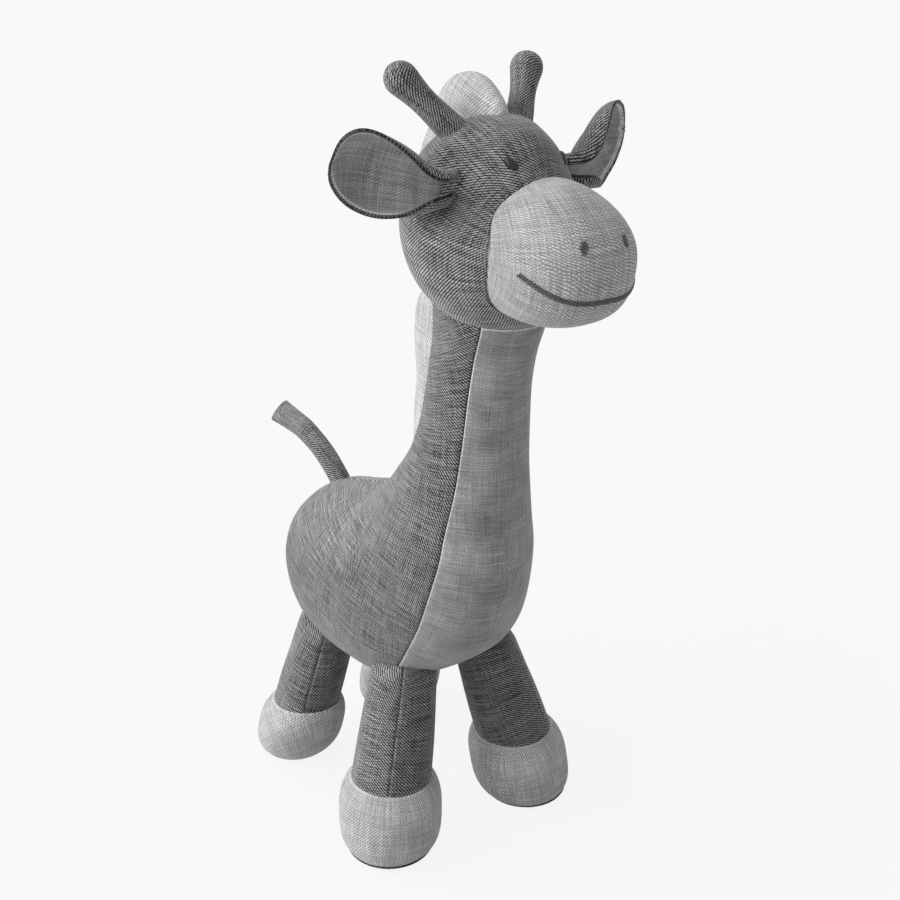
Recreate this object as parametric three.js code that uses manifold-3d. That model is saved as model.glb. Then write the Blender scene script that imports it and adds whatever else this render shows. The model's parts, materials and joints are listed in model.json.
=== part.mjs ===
// A stuffed toy giraffe, in millimetres. It stands on z = 0, faces -Y and, but for one foot, is alike
// left and right. Cloth panels are sewn round loose stuffing: each panel and each stuffed form is a
// solid of its own. Head, ears, legs and tail give at their sewn seams, so each is a group placed at
// its own pivot.
import * as THREE from 'three';
import { mergeVertices } from 'three/addons/utils/BufferGeometryUtils.js';
import Module from 'manifold-3d';

const wasm = await Module();
wasm.setup();

// Cloth and clearances. A washer or a stuffed form needs room under cloth that is round.
const cloth = 1.5;
const seamGap = 0.3;
const seamHalf = seamGap / 2;
const fillGap = 0.35;
const swingGap = 0.9;
const overrun = 12;

// Trunk: y is measured from the chest, z from the belly
const chestFront = -36.5;
const trunkLength = 166.5;
const bellyHeight = 69;
const trunkDepth = 94.5;
const trunkWidth = 83.5;

// Neck: y is measured from the chest, z from the top of the trunk
const neckDepth = 51;
const neckWidth = 41;
const neckRise = 105;

// Head and muzzle, measured from the middle of the head, which is also where the head nods
const headRadius = 43.5;
const headWidth = 78;
const headForward = -26;
const headHeight = 308;
const muzzleWidth = 55.5;
const muzzleLength = 69;
const muzzleDepth = 55;
const muzzleForward = -34;
const muzzleDrop = 3.5;

// Legs and hooves. Track is the distance from the middle plane, stride from the line of the front feet.
// A hoof leans from its sole to its top seam, and the leg leans on from there to the hip.
const legs = {
  front: {
    soleTrack: 41, soleStride: 0.5, seamTrack: 37.3, seamStride: 5.3,
    hipTrack: 24, hipStride: 13, hipHeight: 86,
    topRadius: 15.8, footRadius: 20, hoofRadius: 25, hoofTop: 43, soleRadius: 18.4,
  },
  rear: {
    soleTrack: 40.5, soleStride: 99.5, seamTrack: 37.4, seamStride: 90,
    hipTrack: 26, hipStride: 82, hipHeight: 83,
    topRadius: 15.2, footRadius: 17.8, hoofRadius: 22.5, hoofTop: 41.5, soleRadius: 17,
  },
};
// The left rear leg was sewn on a little turned, so its foot stands further in and back
const leftRearStance = { soleTrack: 29, soleStride: 107.4, seamTrack: 28, seamStride: 97 };
const soleThickness = 4.2;
const soleTaper = 2.8;
const legSwing = 15;
const legSeamTurn = 37;

// Tail, measured from its root in the rump
const tailRadius = 5.4;
const tailFlare = 1.1;
const tailLength = 75;
const tailRise = 27;
const tailSwing = 15;

// Ears, measured from their roots on the head
const earLength = 44;
const earWidth = 32;
const earDepth = 9;
const earCloth = 1.8;
const liningCloth = 1.2;
const earRim = 1.6;
const earSwing = [-10, -5, 0, 5, 10, 15, 20];

// Horns: from the skin of the head to the middle of the bulb
const hornLength = 24.5;
const hornRadius = 5.2;
const hornBulb = 7.4;

// Crests of the mane, and how far they stand proud
const crestThickness = 14;
const neckCrest = 22;
const headCrest = 20;

// Face
const eyeWidth = 4.4;
const eyeHeight = 6;
const eyeDome = 2.2;
const shankRadius = 1;
const shankLength = 6;
const washerRadius = 4.5;
const washerThickness = 1;
const washerRoom = 0.9;
const stitchWidth = 2;
const stitchHeight = 1.1;
const nostrilWidth = 3.2;
const nostrilHeight = 4.4;
const nostrilSpread = 9.9;
const nostrilRise = 5;
const mouthDrop = 14.8;
const mouthWidth = 50.5;
const mouthRise = 9.5;

// How finely the round forms are faceted
const bodySides = 16;
const headSides = 24;
const headRings = 10;
const muzzleSides = 16;
const muzzleRings = 8;
const legSides = 12;
const hoofRings = 6;
const soleSides = 20;
const tailSides = 8;
const tailSteps = 6;
const hornSides = 10;
const bulbSteps = 4;
const crestSides = 8;
const earPoints = 16;
const earRings = 3;
const pinSides = 8;
const lumpSides = 10;
const lumpRings = 6;
const mouthSteps = 12;
const mouthSides = 5;

const darkTwill = { color: 0x4a4b4e, roughness: 0.92, metalness: 0 };
const greyTwill = { color: 0x9a9ca0, roughness: 0.92, metalness: 0 };
const paleTwill = { color: 0xc9cacc, roughness: 0.92, metalness: 0 };
const stuffing = { color: 0xe8e8e6, roughness: 1, metalness: 0 };
const bead = { color: 0x1a1b1d, roughness: 0.15, metalness: 0 };

const acrossAxis = new THREE.Vector3(1, 0, 0);
const alongAxis = new THREE.Vector3(0, 1, 0);
const upAxis = new THREE.Vector3(0, 0, 1);

// Keeps positions only, with shared corners and faces that point out, so that a form is one closed surface
function closed(geometry) {
  const bare = geometry.clone();
  for (const name of Object.keys(bare.attributes)) {
    if (name !== 'position') bare.deleteAttribute(name);
  }
  const form = mergeVertices(bare);
  const index = form.index.array;
  const [a, b, c] = [new THREE.Vector3(), new THREE.Vector3(), new THREE.Vector3()];
  let volume = 0;
  for (let i = 0; i < index.length; i += 3) {
    [a, b, c].forEach((corner, k) => corner.fromBufferAttribute(form.attributes.position, index[i + k]));
    volume += a.dot(b.cross(c));
  }
  if (volume < 0) {
    for (let i = 0; i < index.length; i += 3) [index[i], index[i + 1]] = [index[i + 1], index[i]];
  }
  return form;
}

// The same form with its surface moved out along the normals, or in where the distance is negative
function offset(form, distance) {
  const moved = closed(form);
  moved.computeVertexNormals();
  const place = moved.attributes.position;
  const normal = moved.attributes.normal;
  for (let i = 0; i < place.count; i++) {
    place.setXYZ(
      i,
      place.getX(i) + normal.getX(i) * distance,
      place.getY(i) + normal.getY(i) * distance,
      place.getZ(i) + normal.getZ(i) * distance,
    );
  }
  return moved;
}

function solid(form) {
  const bare = closed(form);
  return new wasm.Manifold(new wasm.Mesh({
    numProp: 3,
    vertProperties: Float32Array.from(bare.attributes.position.array),
    triVerts: Uint32Array.from(bare.index.array),
  }));
}

// Cloth sewn round a form, still closed, and the stuffing that fills it
function coverOf(form) {
  return solid(form).subtract(solid(offset(form, -cloth)));
}

function fillOf(form) {
  return solid(offset(form, -cloth - fillGap));
}

function surface(manifold) {
  const mesh = manifold.getMesh();
  const geometry = new THREE.BufferGeometry();
  geometry.setAttribute('position', new THREE.BufferAttribute(Float32Array.from(mesh.vertProperties), 3));
  geometry.setIndex(new THREE.BufferAttribute(Uint32Array.from(mesh.triVerts), 1));
  geometry.computeVertexNormals();
  return geometry;
}

function piece(name, manifold, finish) {
  const mesh = new THREE.Mesh(surface(manifold), new THREE.MeshStandardMaterial(finish));
  mesh.name = name;
  return mesh;
}

function sideOf(side) {
  return side < 0 ? 'right' : 'left';
}

// Joins rings of points, all with as many points, between two end points
function skin(start, rings, end) {
  const sides = rings[0].length;
  const points = [start, ...rings.flat(), end];
  const last = points.length - 1;
  const faces = [];
  for (let s = 0; s < sides; s++) {
    const t = (s + 1) % sides;
    faces.push(0, 1 + s, 1 + t);
    for (let r = 0; r + 1 < rings.length; r++) {
      const a = 1 + r * sides;
      const b = a + sides;
      faces.push(a + s, b + s, b + t, a + s, b + t, a + t);
    }
    faces.push(last - sides + s, last, last - sides + t);
  }
  const geometry = new THREE.BufferGeometry().setFromPoints(points);
  geometry.setIndex(faces);
  return geometry;
}

// An oval ring across the middle plane, from a point on the back line to one on the belly line.
// A squareness of 2 is an ellipse, and more makes the belly side boxier.
function ovalRing({ back, belly, half, squareness = 2 }, sides) {
  const middle = back.clone().add(belly).divideScalar(2);
  const reach = back.clone().sub(middle);
  return Array.from({ length: sides }, (_, s) => {
    const turn = (2 * Math.PI * s) / sides;
    const along = Math.cos(turn);
    const across = Math.sin(turn);
    const power = along < 0 ? squareness : 2;
    const size = (Math.abs(along) ** power + Math.abs(across) ** power) ** (1 / power);
    const point = middle.clone().addScaledVector(reach, along / size);
    point.x += (half * across) / size;
    return point;
  });
}

function levelRing(centre, radius, sides) {
  return Array.from({ length: sides }, (_, s) => {
    const turn = (2 * Math.PI * s) / sides;
    return centre.clone().add(new THREE.Vector3(radius * Math.cos(turn), radius * Math.sin(turn), 0));
  });
}

// A ring square to a direction that lies in the middle plane
function tubeRing(centre, along, radius, sides) {
  const upward = new THREE.Vector3(0, -along.z, along.y).normalize();
  return Array.from({ length: sides }, (_, s) => {
    const turn = (2 * Math.PI * s) / sides;
    return centre.clone().addScaledVector(upward, radius * Math.cos(turn))
      .addScaledVector(acrossAxis, radius * Math.sin(turn));
  });
}

function prism(outline, depth) {
  const shape = new THREE.Shape(outline.map(([a, b]) => new THREE.Vector2(a, b)));
  return new THREE.ExtrudeGeometry(shape, { depth, bevelEnabled: false });
}

// A prism whose outline is given in y and z, across the middle plane
function sidePrism(outline, width) {
  const form = prism(outline, width);
  form.translate(0, 0, -width / 2);
  return form.applyMatrix4(new THREE.Matrix4().makeBasis(alongAxis, upAxis, acrossAxis));
}

// A prism whose outline is given in x and z, along the toy
function frontPrism(outline, depth) {
  const form = prism(outline, depth);
  form.applyMatrix4(new THREE.Matrix4().makeBasis(acrossAxis, upAxis, alongAxis.clone().negate()));
  return form.translate(0, depth / 2, 0);
}

// A straight round pin or hole along the third axis of a frame
function shaft(radius, from, to, frame) {
  const form = new THREE.CylinderGeometry(radius, radius, to - from, pinSides);
  form.rotateX(Math.PI / 2);
  form.translate(0, 0, (from + to) / 2);
  return solid(form.applyMatrix4(frame));
}

// Trunk and neck form: rungs from the rump round the belly and up the neck. Each has its shares of
// length and depth on the back line, the same on the belly line, its share of the half width, and
// on the trunk how square its belly side is.
const trunkRungShares = [
  [0.985, 0.603, 0.985, 0.280, 0.39, 2],
  [0.937, 0.735, 0.937, 0.159, 0.67, 2.1],
  [0.868, 0.825, 0.862, 0.063, 0.86, 2.3],
  [0.781, 0.873, 0.772, 0.011, 0.965, 2.5],
  [0.685, 0.931, 0.670, 0.000, 1.00, 2.8],
  [0.562, 1.000, 0.453, 0.042, 0.99, 3.2],
  [0.532, 1.037, 0.333, 0.106, 0.975, 3.2],
  [0.508, 1.079, 0.225, 0.212, 0.91, 2.8],
  [0.468, 1.160, 0.080, 0.470, 0.84, 2.3],
  [0.417, 1.270, 0.010, 0.815, 0.75, 2.1],
  [0.381, 1.354, 0.000, 1.026, 0.67, 2],
];
const rumpPoleShares = [1, 0.44];
const neckRungShares = [
  [1.140, 0.405, 0.004, 0.195, 1.23],
  [1.050, 0.510, 0.004, 0.376, 1.12],
  [0.985, 0.633, -0.016, 0.557, 1.05],
  [0.940, 0.757, -0.049, 0.719, 1.00],
  [0.880, 0.881, -0.108, 0.862, 1.00],
  [0.860, 1.014, -0.205, 0.986, 1.06],
  [0.850, 1.186, -0.255, 1.081, 1.12],
];
const neckTopShares = [0.35, 1.176];

const trunkTop = bellyHeight + trunkDepth;
const neckTop = trunkTop + neckRise;

function trunkPoint(lengthShare, depthShare) {
  return new THREE.Vector3(0, chestFront + lengthShare * trunkLength, bellyHeight + depthShare * trunkDepth);
}

function neckPoint(depthShare, riseShare) {
  return new THREE.Vector3(0, chestFront + depthShare * neckDepth, trunkTop + riseShare * neckRise);
}

function bodyForm() {
  const rungs = [
    ...trunkRungShares.map(([a, b, c, d, half, squareness]) => ({
      back: trunkPoint(a, b), belly: trunkPoint(c, d), half: (half * trunkWidth) / 2, squareness,
    })),
    ...neckRungShares.map(([a, b, c, d, half]) => ({
      back: neckPoint(a, b), belly: neckPoint(c, d), half: (half * neckWidth) / 2,
    })),
  ];
  const rings = rungs.map((rung) => ovalRing(rung, bodySides));
  return skin(trunkPoint(...rumpPoleShares), rings, neckPoint(...neckTopShares));
}

// Chest panel: its half width up the front, as shares of the trunk's half width and the neck's top,
// and its back edge, in shares of the trunk's length and of the neck's top
const chestSeamShares = [
  [0.30, -0.1], [0.30, 0.28], [0.50, 0.33], [0.70, 0.385], [0.72, 0.45], [0.695, 0.52], [0.60, 0.628],
  [0.517, 0.69], [0.45, 0.76], [0.43, 0.81], [0.40, 0.88], [0.39, 0.95], [0.41, 1.00], [0.44, 1.12],
];
const chestDepthShares = [
  [0.80, 0.05], [0.80, 0.33], [0.36, 0.36], [0.30, 0.45], [0.27, 0.56], [0.20, 0.69], [0.14, 0.81],
  [0.13, 1.12],
];

function chestPrism(inset) {
  const right = chestSeamShares.map(([half, rise]) => [inset - (half * trunkWidth) / 2, rise * neckTop]);
  const left = right.map(([x, z]) => [-x, z]).reverse();
  const back = chestDepthShares.map(([along, rise]) => [
    chestFront + along * trunkLength - inset, rise * neckTop,
  ]);
  const front = [[-trunkLength, back.at(-1)[1]], [-trunkLength, 0]];
  return solid(frontPrism([...right, ...left], 2 * trunkLength))
    .intersect(solid(sidePrism([...back, ...front], trunkWidth)));
}

// The half space above the seam between the trunk's and the neck's stuffing
const shoulderShares = trunkRungShares.at(-2);

function aboveShoulder(gap) {
  const [backAlong, backRise, bellyAlong, bellyRise] = shoulderShares;
  const back = trunkPoint(backAlong, backRise);
  const belly = trunkPoint(bellyAlong, bellyRise);
  const slope = (back.z - belly.z) / (back.y - belly.y);
  const low = (y) => belly.z + (y - belly.y) * slope + gap;
  const reach = trunkLength;
  const high = headHeight + reach;
  const corners = [[-reach, low(-reach)], [reach, low(reach)], [reach, high], [-reach, high]];
  return solid(sidePrism(corners, 2 * trunkWidth));
}

// Crest down the neck: shares of the crest's height and of the neck's rise. It has two lobes.
const neckCrestShares = [
  [0.62, 1.02], [0.90, 0.95], [1.00, 0.85], [0.98, 0.73], [0.92, 0.62], [0.98, 0.51],
  [1.00, 0.41], [0.94, 0.32], [0.80, 0.255],
];
const crestRootShare = 0.3;
const crestLineShare = 1.39;
const crestSquareness = 3;

function backLine(rise) {
  const rungs = [
    ...trunkRungShares.slice(-4).map(([a, b]) => trunkPoint(a, b)),
    ...neckRungShares.map(([a, b]) => neckPoint(a, b)),
  ];
  const z = trunkTop + rise * neckRise;
  const above = Math.max(1, rungs.findIndex((rung) => rung.z >= z));
  const share = (z - rungs[above - 1].z) / (rungs[above].z - rungs[above - 1].z);
  return rungs[above - 1].clone().lerp(rungs[above], share);
}

// A crest is boxy at its root and round at its edge, and closes a little beyond its end rings
function crestForm(stations) {
  const rings = stations.map(({ root, edge, height }) => {
    const half = (crestThickness / 2) * Math.sqrt(height);
    return ovalRing({ back: edge, belly: root, half, squareness: crestSquareness }, crestSides);
  });
  const middleOf = ({ root, edge }) => root.clone().add(edge).divideScalar(2);
  const beyond = (last, inner) => {
    const end = middleOf(last);
    return end.add(end.clone().sub(middleOf(inner)).setLength(crestThickness * crestRootShare));
  };
  return skin(beyond(stations[0], stations[1]), rings, beyond(stations.at(-1), stations.at(-2)));
}

function neckCrestForm() {
  const edgeLine = chestFront + crestLineShare * neckDepth;
  return crestForm(neckCrestShares.map(([height, rise]) => {
    const root = backLine(rise);
    root.y -= crestRootShare * neckCrest;
    return { root, edge: new THREE.Vector3(0, edgeLine - (1 - height) * neckCrest, root.z), height };
  }));
}

function trunkGroup(body, clear, headCup) {
  const group = new THREE.Group();
  const cutAll = (whole) => [...clear, headCup].reduce((left, cutter) => left.subtract(cutter), whole);
  const cover = cutAll(coverOf(body));
  group.add(piece('chest_panel', cover.intersect(chestPrism(seamHalf)), greyTwill));
  const sides = cover.subtract(chestPrism(-seamHalf));
  for (const side of [-1, 1]) {
    const half = new THREE.BoxGeometry(trunkLength, 3 * trunkLength, 2 * headHeight);
    half.translate(side * (trunkLength / 2 + seamHalf), 0, headHeight / 2);
    group.add(piece(`side_panel_${sideOf(side)}`, sides.intersect(solid(half)), darkTwill));
  }
  const fill = cutAll(fillOf(body));
  group.add(piece('trunk_stuffing', fill.subtract(aboveShoulder(-seamHalf)), stuffing));
  group.add(piece('neck_stuffing', fill.intersect(aboveShoulder(seamHalf)), stuffing));

  const crest = neckCrestForm();
  const root = solid(offset(body, seamGap)).add(headCup);
  group.add(piece('neck_mane', coverOf(crest).subtract(root), paleTwill));
  group.add(piece('neck_mane_stuffing', fillOf(crest).subtract(root), stuffing));
  return group;
}

// Head form: a ball that is round seen from the side, so that it turns in the cup of the neck.
// Its brow is drawn back, and its temples in, above the muzzle.
const browShare = 0.18;
const templeShare = 0.72;

function headForm() {
  const form = closed(new THREE.SphereGeometry(1, headSides, headRings).rotateZ(Math.PI / 2));
  const place = form.attributes.position;
  for (let i = 0; i < place.count; i++) {
    const y = place.getY(i);
    const z = place.getZ(i);
    if (y < 0 && z > 0) {
      place.setX(i, place.getX(i) * (1 + templeShare * z * y));
      place.setY(i, y * (1 - browShare * Math.sin(Math.PI * z)));
    }
  }
  return form.scale(headWidth / 2, headRadius, headRadius);
}

// Muzzle form: boxy below, round and narrower above
const muzzleSquareness = 2.4;
const muzzleCrown = 2;
const muzzleJaw = 2.8;
const bridgeShare = 0.16;

function muzzleForm() {
  const form = closed(new THREE.SphereGeometry(1, muzzleSides, muzzleRings).rotateX(Math.PI / 2));
  const place = form.attributes.position;
  for (let i = 0; i < place.count; i++) {
    const [x, y, z] = [place.getX(i), place.getY(i), place.getZ(i)];
    const rise = z > 0 ? muzzleCrown : muzzleJaw;
    const square = Math.abs(x) ** muzzleSquareness + Math.abs(y) ** muzzleSquareness;
    const size = (square ** (rise / muzzleSquareness) + Math.abs(z) ** rise) ** (1 / rise);
    const narrow = 1 - bridgeShare * Math.max(0, z / size) ** 2;
    place.setXYZ(
      i,
      (x / size) * narrow * (muzzleWidth / 2),
      muzzleForward + (y / size) * narrow * (muzzleLength / 2),
      -muzzleDrop + (z / size) * (muzzleDepth / 2),
    );
  }
  return form;
}

// The muzzle's front surface at a place across and up
function muzzleFront(x, z) {
  const high = (z + muzzleDrop) / (muzzleDepth / 2);
  const rise = high > 0 ? muzzleCrown : muzzleJaw;
  const flat = (1 - Math.abs(high) ** rise) ** (1 / rise);
  const narrow = 1 - bridgeShare * Math.max(0, high) ** 2;
  const wide = Math.abs(x) / (narrow * (muzzleWidth / 2));
  const deep = Math.max(0, flat ** muzzleSquareness - wide ** muzzleSquareness) ** (1 / muzzleSquareness);
  return new THREE.Vector3(x, muzzleForward - deep * narrow * (muzzleLength / 2), z);
}

// Crest over the head: degrees back from the crown, and shares of the crest's height. It has three lobes.
const headCrestShares = [
  [-4, 0.30], [2, 0.52], [10, 0.74], [20, 0.90], [31, 0.98], [42, 0.90],
  [53, 0.72], [66, 0.75], [78, 0.72], [89, 0.58], [99, 0.56], [107, 0.40],
];

function headCrestForm() {
  return crestForm(headCrestShares.map(([degrees, height]) => {
    const turn = THREE.MathUtils.degToRad(degrees);
    const ray = new THREE.Vector3(0, Math.sin(turn), Math.cos(turn));
    const root = ray.clone().multiplyScalar(headRadius - crestRootShare * headCrest);
    return { root, edge: ray.multiplyScalar(headRadius + height * headCrest), height };
  }));
}

// Horns: shares of the horn's radius and length up a stem that ends in a round bulb
const hornRootShares = [0.454, 0.262, 0.908];
const hornRakeShares = [0.524, 0.515, 0.679];
const hornProfileShares = [[0, -0.35], [1.04, -0.35], [1.04, 0.05], [0.96, 0.45], [1.0, 0.68]];

function hornForm(side) {
  const profile = hornProfileShares.map(([width, along]) => (
    new THREE.Vector2(width * hornRadius, along * hornLength)
  ));
  const start = Math.asin(hornRadius / hornBulb) - Math.PI / 2;
  for (let i = 1; i <= bulbSteps; i++) {
    const turn = THREE.MathUtils.lerp(start, Math.PI / 2, i / bulbSteps);
    const width = i === bulbSteps ? 0 : hornBulb * Math.cos(turn);
    profile.push(new THREE.Vector2(width, hornLength + hornBulb * Math.sin(turn)));
  }
  const form = new THREE.LatheGeometry(profile, hornSides);
  const [across, back, up] = hornRakeShares;
  const rake = new THREE.Vector3(side * across, back, up).normalize();
  form.applyQuaternion(new THREE.Quaternion().setFromUnitVectors(alongAxis, rake));
  return form.translate(...onHead(side, hornRootShares).toArray());
}

// A place on or in the head, given as shares of its half width and of its radius
function onHead(side, [across, along, up]) {
  return new THREE.Vector3((side * across * headWidth) / 2, along * headRadius, up * headRadius);
}

// Ears: a rounded leaf, scooped back between its rims. Its outline is in shares of length and of width.
const earRootShares = [0.846, -0.207, 0.40];
const earAlongShares = [0.89, 0.404, 0.208];
const earFacingShares = [0.436, -0.89, -0.134];
const earOutlineShares = [
  [-0.06, -0.11], [0.25, -0.30], [0.56, -0.40], [0.80, -0.33], [0.96, -0.12], [0.99, 0.10],
  [0.95, 0.38], [0.86, 0.53], [0.72, 0.57], [0.44, 0.47], [0.18, 0.29], [-0.04, 0.16],
];
const earMiddleShares = [0.55, 0.08];

function earFrame(side) {
  const [alongX, alongY, alongZ] = earAlongShares;
  const [facingX, facingY, facingZ] = earFacingShares;
  const along = new THREE.Vector3(side * alongX, alongY, alongZ).normalize();
  const facing = new THREE.Vector3(side * facingX, facingY, facingZ);
  facing.addScaledVector(along, -facing.dot(along)).normalize();
  const up = new THREE.Vector3().crossVectors(facing, along).multiplyScalar(side);
  return { along, facing, up };
}

// A closed sheet between two depths behind the rim, drawn in from the ear's outline by a margin
function earForm(side, front, behind, margin) {
  const { along, facing, up } = earFrame(side);
  const outline = new THREE.CatmullRomCurve3(earOutlineShares.map(([u, v]) => (
    new THREE.Vector3(u * earLength, v * earWidth, 0)
  )), true).getSpacedPoints(earPoints).slice(0, earPoints);
  const middle = new THREE.Vector3(earMiddleShares[0] * earLength, earMiddleShares[1] * earWidth, 0);
  const place = (flat, depth) => along.clone().multiplyScalar(flat.x)
    .addScaledVector(up, flat.y).addScaledVector(facing, -depth);
  const layer = (depth) => Array.from({ length: earRings }, (_, r) => {
    const reach = (r + 1) / earRings;
    return outline.map((edge) => {
      const arm = edge.clone().sub(middle);
      arm.setLength((arm.length() - margin) * reach);
      return place(arm.add(middle), earDepth * (1 - reach * reach) + depth);
    });
  });
  const rings = [...layer(front), ...layer(behind).reverse()];
  return skin(place(middle, earDepth + front), rings, place(middle, earDepth + behind));
}

// An ear is trimmed at its root by the head, as it lies to the ear at each part of the ear's swing
function earGroup(side, clearHead) {
  const group = new THREE.Group();
  const root = onHead(side, earRootShares);
  group.position.copy(root);
  const trim = (form) => earSwing.reduce((left, degrees) => (
    left.subtract(clearHead.translate(root.clone().negate().toArray()).rotate([0, 0, side * degrees]))
  ), solid(form));
  const lining = earForm(side, -seamGap - liningCloth, -seamGap, earRim);
  group.add(piece(`ear_back_${sideOf(side)}`, trim(earForm(side, 0, earCloth, 0)), darkTwill));
  group.add(piece(`ear_lining_${sideOf(side)}`, trim(lining), greyTwill));
  return group;
}

// A frame set square to a surface: its third axis points out, and its second as far up as it can
function setSquare(place, outwards, rollDegrees) {
  const out = outwards.clone().normalize();
  const side = new THREE.Vector3().crossVectors(upAxis, out).normalize();
  const up = new THREE.Vector3().crossVectors(out, side);
  const frame = new THREE.Matrix4().makeBasis(side, up, out);
  frame.multiply(new THREE.Matrix4().makeRotationZ(THREE.MathUtils.degToRad(rollDegrees)));
  return frame.setPosition(place);
}

// An oval lump, half of it proud of the surface: an eye or a nostril
function lump(width, height, dome, frame) {
  const form = new THREE.SphereGeometry(1, lumpSides, lumpRings);
  return solid(form.scale(width / 2, height / 2, dome).applyMatrix4(frame));
}

// A smile of thick thread round the front of the muzzle
function mouthForm() {
  const points = [];
  for (let i = 0; i <= mouthSteps; i++) {
    const across = Math.sin(((i / mouthSteps) * 2 - 1) * (Math.PI / 2));
    points.push(muzzleFront((across * mouthWidth) / 2, mouthRise * across ** 4 - mouthDrop));
  }
  const route = new THREE.CatmullRomCurve3(points);
  const rings = [];
  for (let i = 0; i <= mouthSteps; i++) {
    const centre = route.getPointAt(i / mouthSteps);
    const along = route.getTangentAt(i / mouthSteps);
    const out = centre.clone().setY(centre.y - muzzleForward).normalize();
    out.addScaledVector(along, -out.dot(along)).normalize();
    const up = new THREE.Vector3().crossVectors(along, out);
    rings.push(Array.from({ length: mouthSides }, (_, s) => {
      const turn = (2 * Math.PI * s) / mouthSides;
      return centre.clone().addScaledVector(out, (stitchHeight + seamGap) * Math.cos(turn))
        .addScaledVector(up, (stitchWidth / 2) * Math.sin(turn));
    }));
  }
  return skin(points[0], rings, points.at(-1));
}

// Where a ray from the middle of a form meets its surface, and the facet's own way out
function onSurface(form, direction) {
  const ray = new THREE.Ray(new THREE.Vector3(), direction.clone().normalize());
  const place = form.attributes.position;
  const facet = new THREE.Triangle();
  for (let i = 0; i < form.index.count; i += 3) {
    facet.setFromAttributeAndIndices(place, ...form.index.array.slice(i, i + 3));
    const point = ray.intersectTriangle(facet.a, facet.b, facet.c, false, new THREE.Vector3());
    if (point) return { point, out: facet.getNormal(new THREE.Vector3()) };
  }
  throw new Error('the ray misses the form');
}

// A bead eye: its shank goes through the cloth into a washer that grips it from inside
const eyeShares = [0.325, -0.54, 0.66];
const eyeRollDegrees = 20;

function eyePieces(side, head, clearHead) {
  const { point, out } = onSurface(head, onHead(side, eyeShares));
  const frame = setSquare(point, out, -side * eyeRollDegrees);
  const washerTop = -cloth - washerRoom;
  const washerFoot = washerTop - washerThickness;
  const hole = shaft(shankRadius + seamGap, -shankLength - seamGap, overrun, frame);
  return {
    eye: lump(eyeWidth, eyeHeight, eyeDome, frame).subtract(clearHead)
      .add(shaft(shankRadius, -shankLength, eyeDome / 2, frame)),
    washer: shaft(washerRadius, washerFoot, washerTop, frame).subtract(hole),
    hole,
    room: shaft(washerRadius + seamGap, washerFoot - seamGap, overrun, frame).add(hole),
  };
}

function headGroup(head, muzzle) {
  const group = new THREE.Group();
  group.position.set(0, headForward, headHeight);
  const clearHead = solid(offset(head, seamGap));
  const clearSnout = solid(offset(muzzle, seamGap));
  let cover = coverOf(head).subtract(clearSnout);
  let fill = fillOf(head).add(fillOf(muzzle));
  for (const side of [-1, 1]) {
    const label = sideOf(side);
    const { eye, washer, hole, room } = eyePieces(side, head, clearHead);
    cover = cover.subtract(hole);
    fill = fill.subtract(room);
    group.add(piece(`eye_${label}`, eye, bead));
    group.add(piece(`eye_washer_${label}`, washer, bead));

    const horn = hornForm(side);
    group.add(piece(`horn_${label}`, coverOf(horn).subtract(clearHead), darkTwill));
    group.add(piece(`horn_stuffing_${label}`, fillOf(horn).subtract(clearHead), stuffing));
    group.add(earGroup(side, clearHead));

    const nose = muzzleFront(side * nostrilSpread, nostrilRise);
    const noseOut = nose.clone().setY(nose.y - muzzleForward);
    const nostril = lump(nostrilWidth, nostrilHeight, stitchHeight, setSquare(nose, noseOut, 0));
    group.add(piece(`nostril_${label}`, nostril.subtract(clearSnout), darkTwill));
  }
  group.add(piece('head_cover', cover, darkTwill));
  group.add(piece('muzzle_cover', coverOf(muzzle).subtract(solid(head)), paleTwill));
  group.add(piece('head_stuffing', fill, stuffing));
  group.add(piece('mouth_stitch', solid(mouthForm()).subtract(clearSnout), darkTwill));

  const crest = headCrestForm();
  group.add(piece('head_mane', coverOf(crest).subtract(clearHead), paleTwill));
  group.add(piece('head_mane_stuffing', fillOf(crest).subtract(clearHead), stuffing));
  return group;
}

// Leg forms, measured from the hip that the leg swings on. The hoof's top seam is a share of the way
// up the hoof, and the rings of a dome are shares of a quarter turn.
const seamHeightShare = 0.8;
const domeShares = [0.67, 0.33];
const legRingShares = [0, 0.5, 1];
const hoofSquareness = 2.8;

function legOf(end, side) {
  const turned = end === 'rear' && side > 0;
  return turned ? { ...legs[end], ...leftRearStance } : legs[end];
}

function hipPlace(leg, side) {
  return new THREE.Vector3(side * leg.hipTrack, leg.hipStride, leg.hipHeight);
}

// The middle of the hoof's top seam, and of its sole
function seamPlace(leg, side) {
  const seam = new THREE.Vector3(side * leg.seamTrack, leg.seamStride, seamHeightShare * leg.hoofTop);
  return seam.sub(hipPlace(leg, side));
}

function solePlace(leg, side) {
  return new THREE.Vector3(side * leg.soleTrack, leg.soleStride, 0).sub(hipPlace(leg, side));
}

function domeRings(radius) {
  return domeShares.map((share) => {
    const turn = (share * Math.PI) / 2;
    return levelRing(new THREE.Vector3(0, 0, radius * Math.sin(turn)), radius * Math.cos(turn), legSides);
  });
}

// A round-topped post from the hip to the hoof's top seam, made thinner by an inset and longer by a drop
function legForm(leg, side, inset, drop) {
  const seam = seamPlace(leg, side);
  const top = leg.topRadius - inset;
  const foot = leg.footRadius - inset;
  const rings = domeRings(top);
  for (const share of legRingShares) {
    const radius = THREE.MathUtils.lerp(top, foot, share);
    rings.push(levelRing(seam.clone().multiplyScalar(share), radius, legSides));
  }
  const low = seam.clone().multiplyScalar(1 + drop / seam.length());
  rings.push(levelRing(low, foot, legSides));
  return skin(new THREE.Vector3(0, 0, top), rings, low);
}

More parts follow.
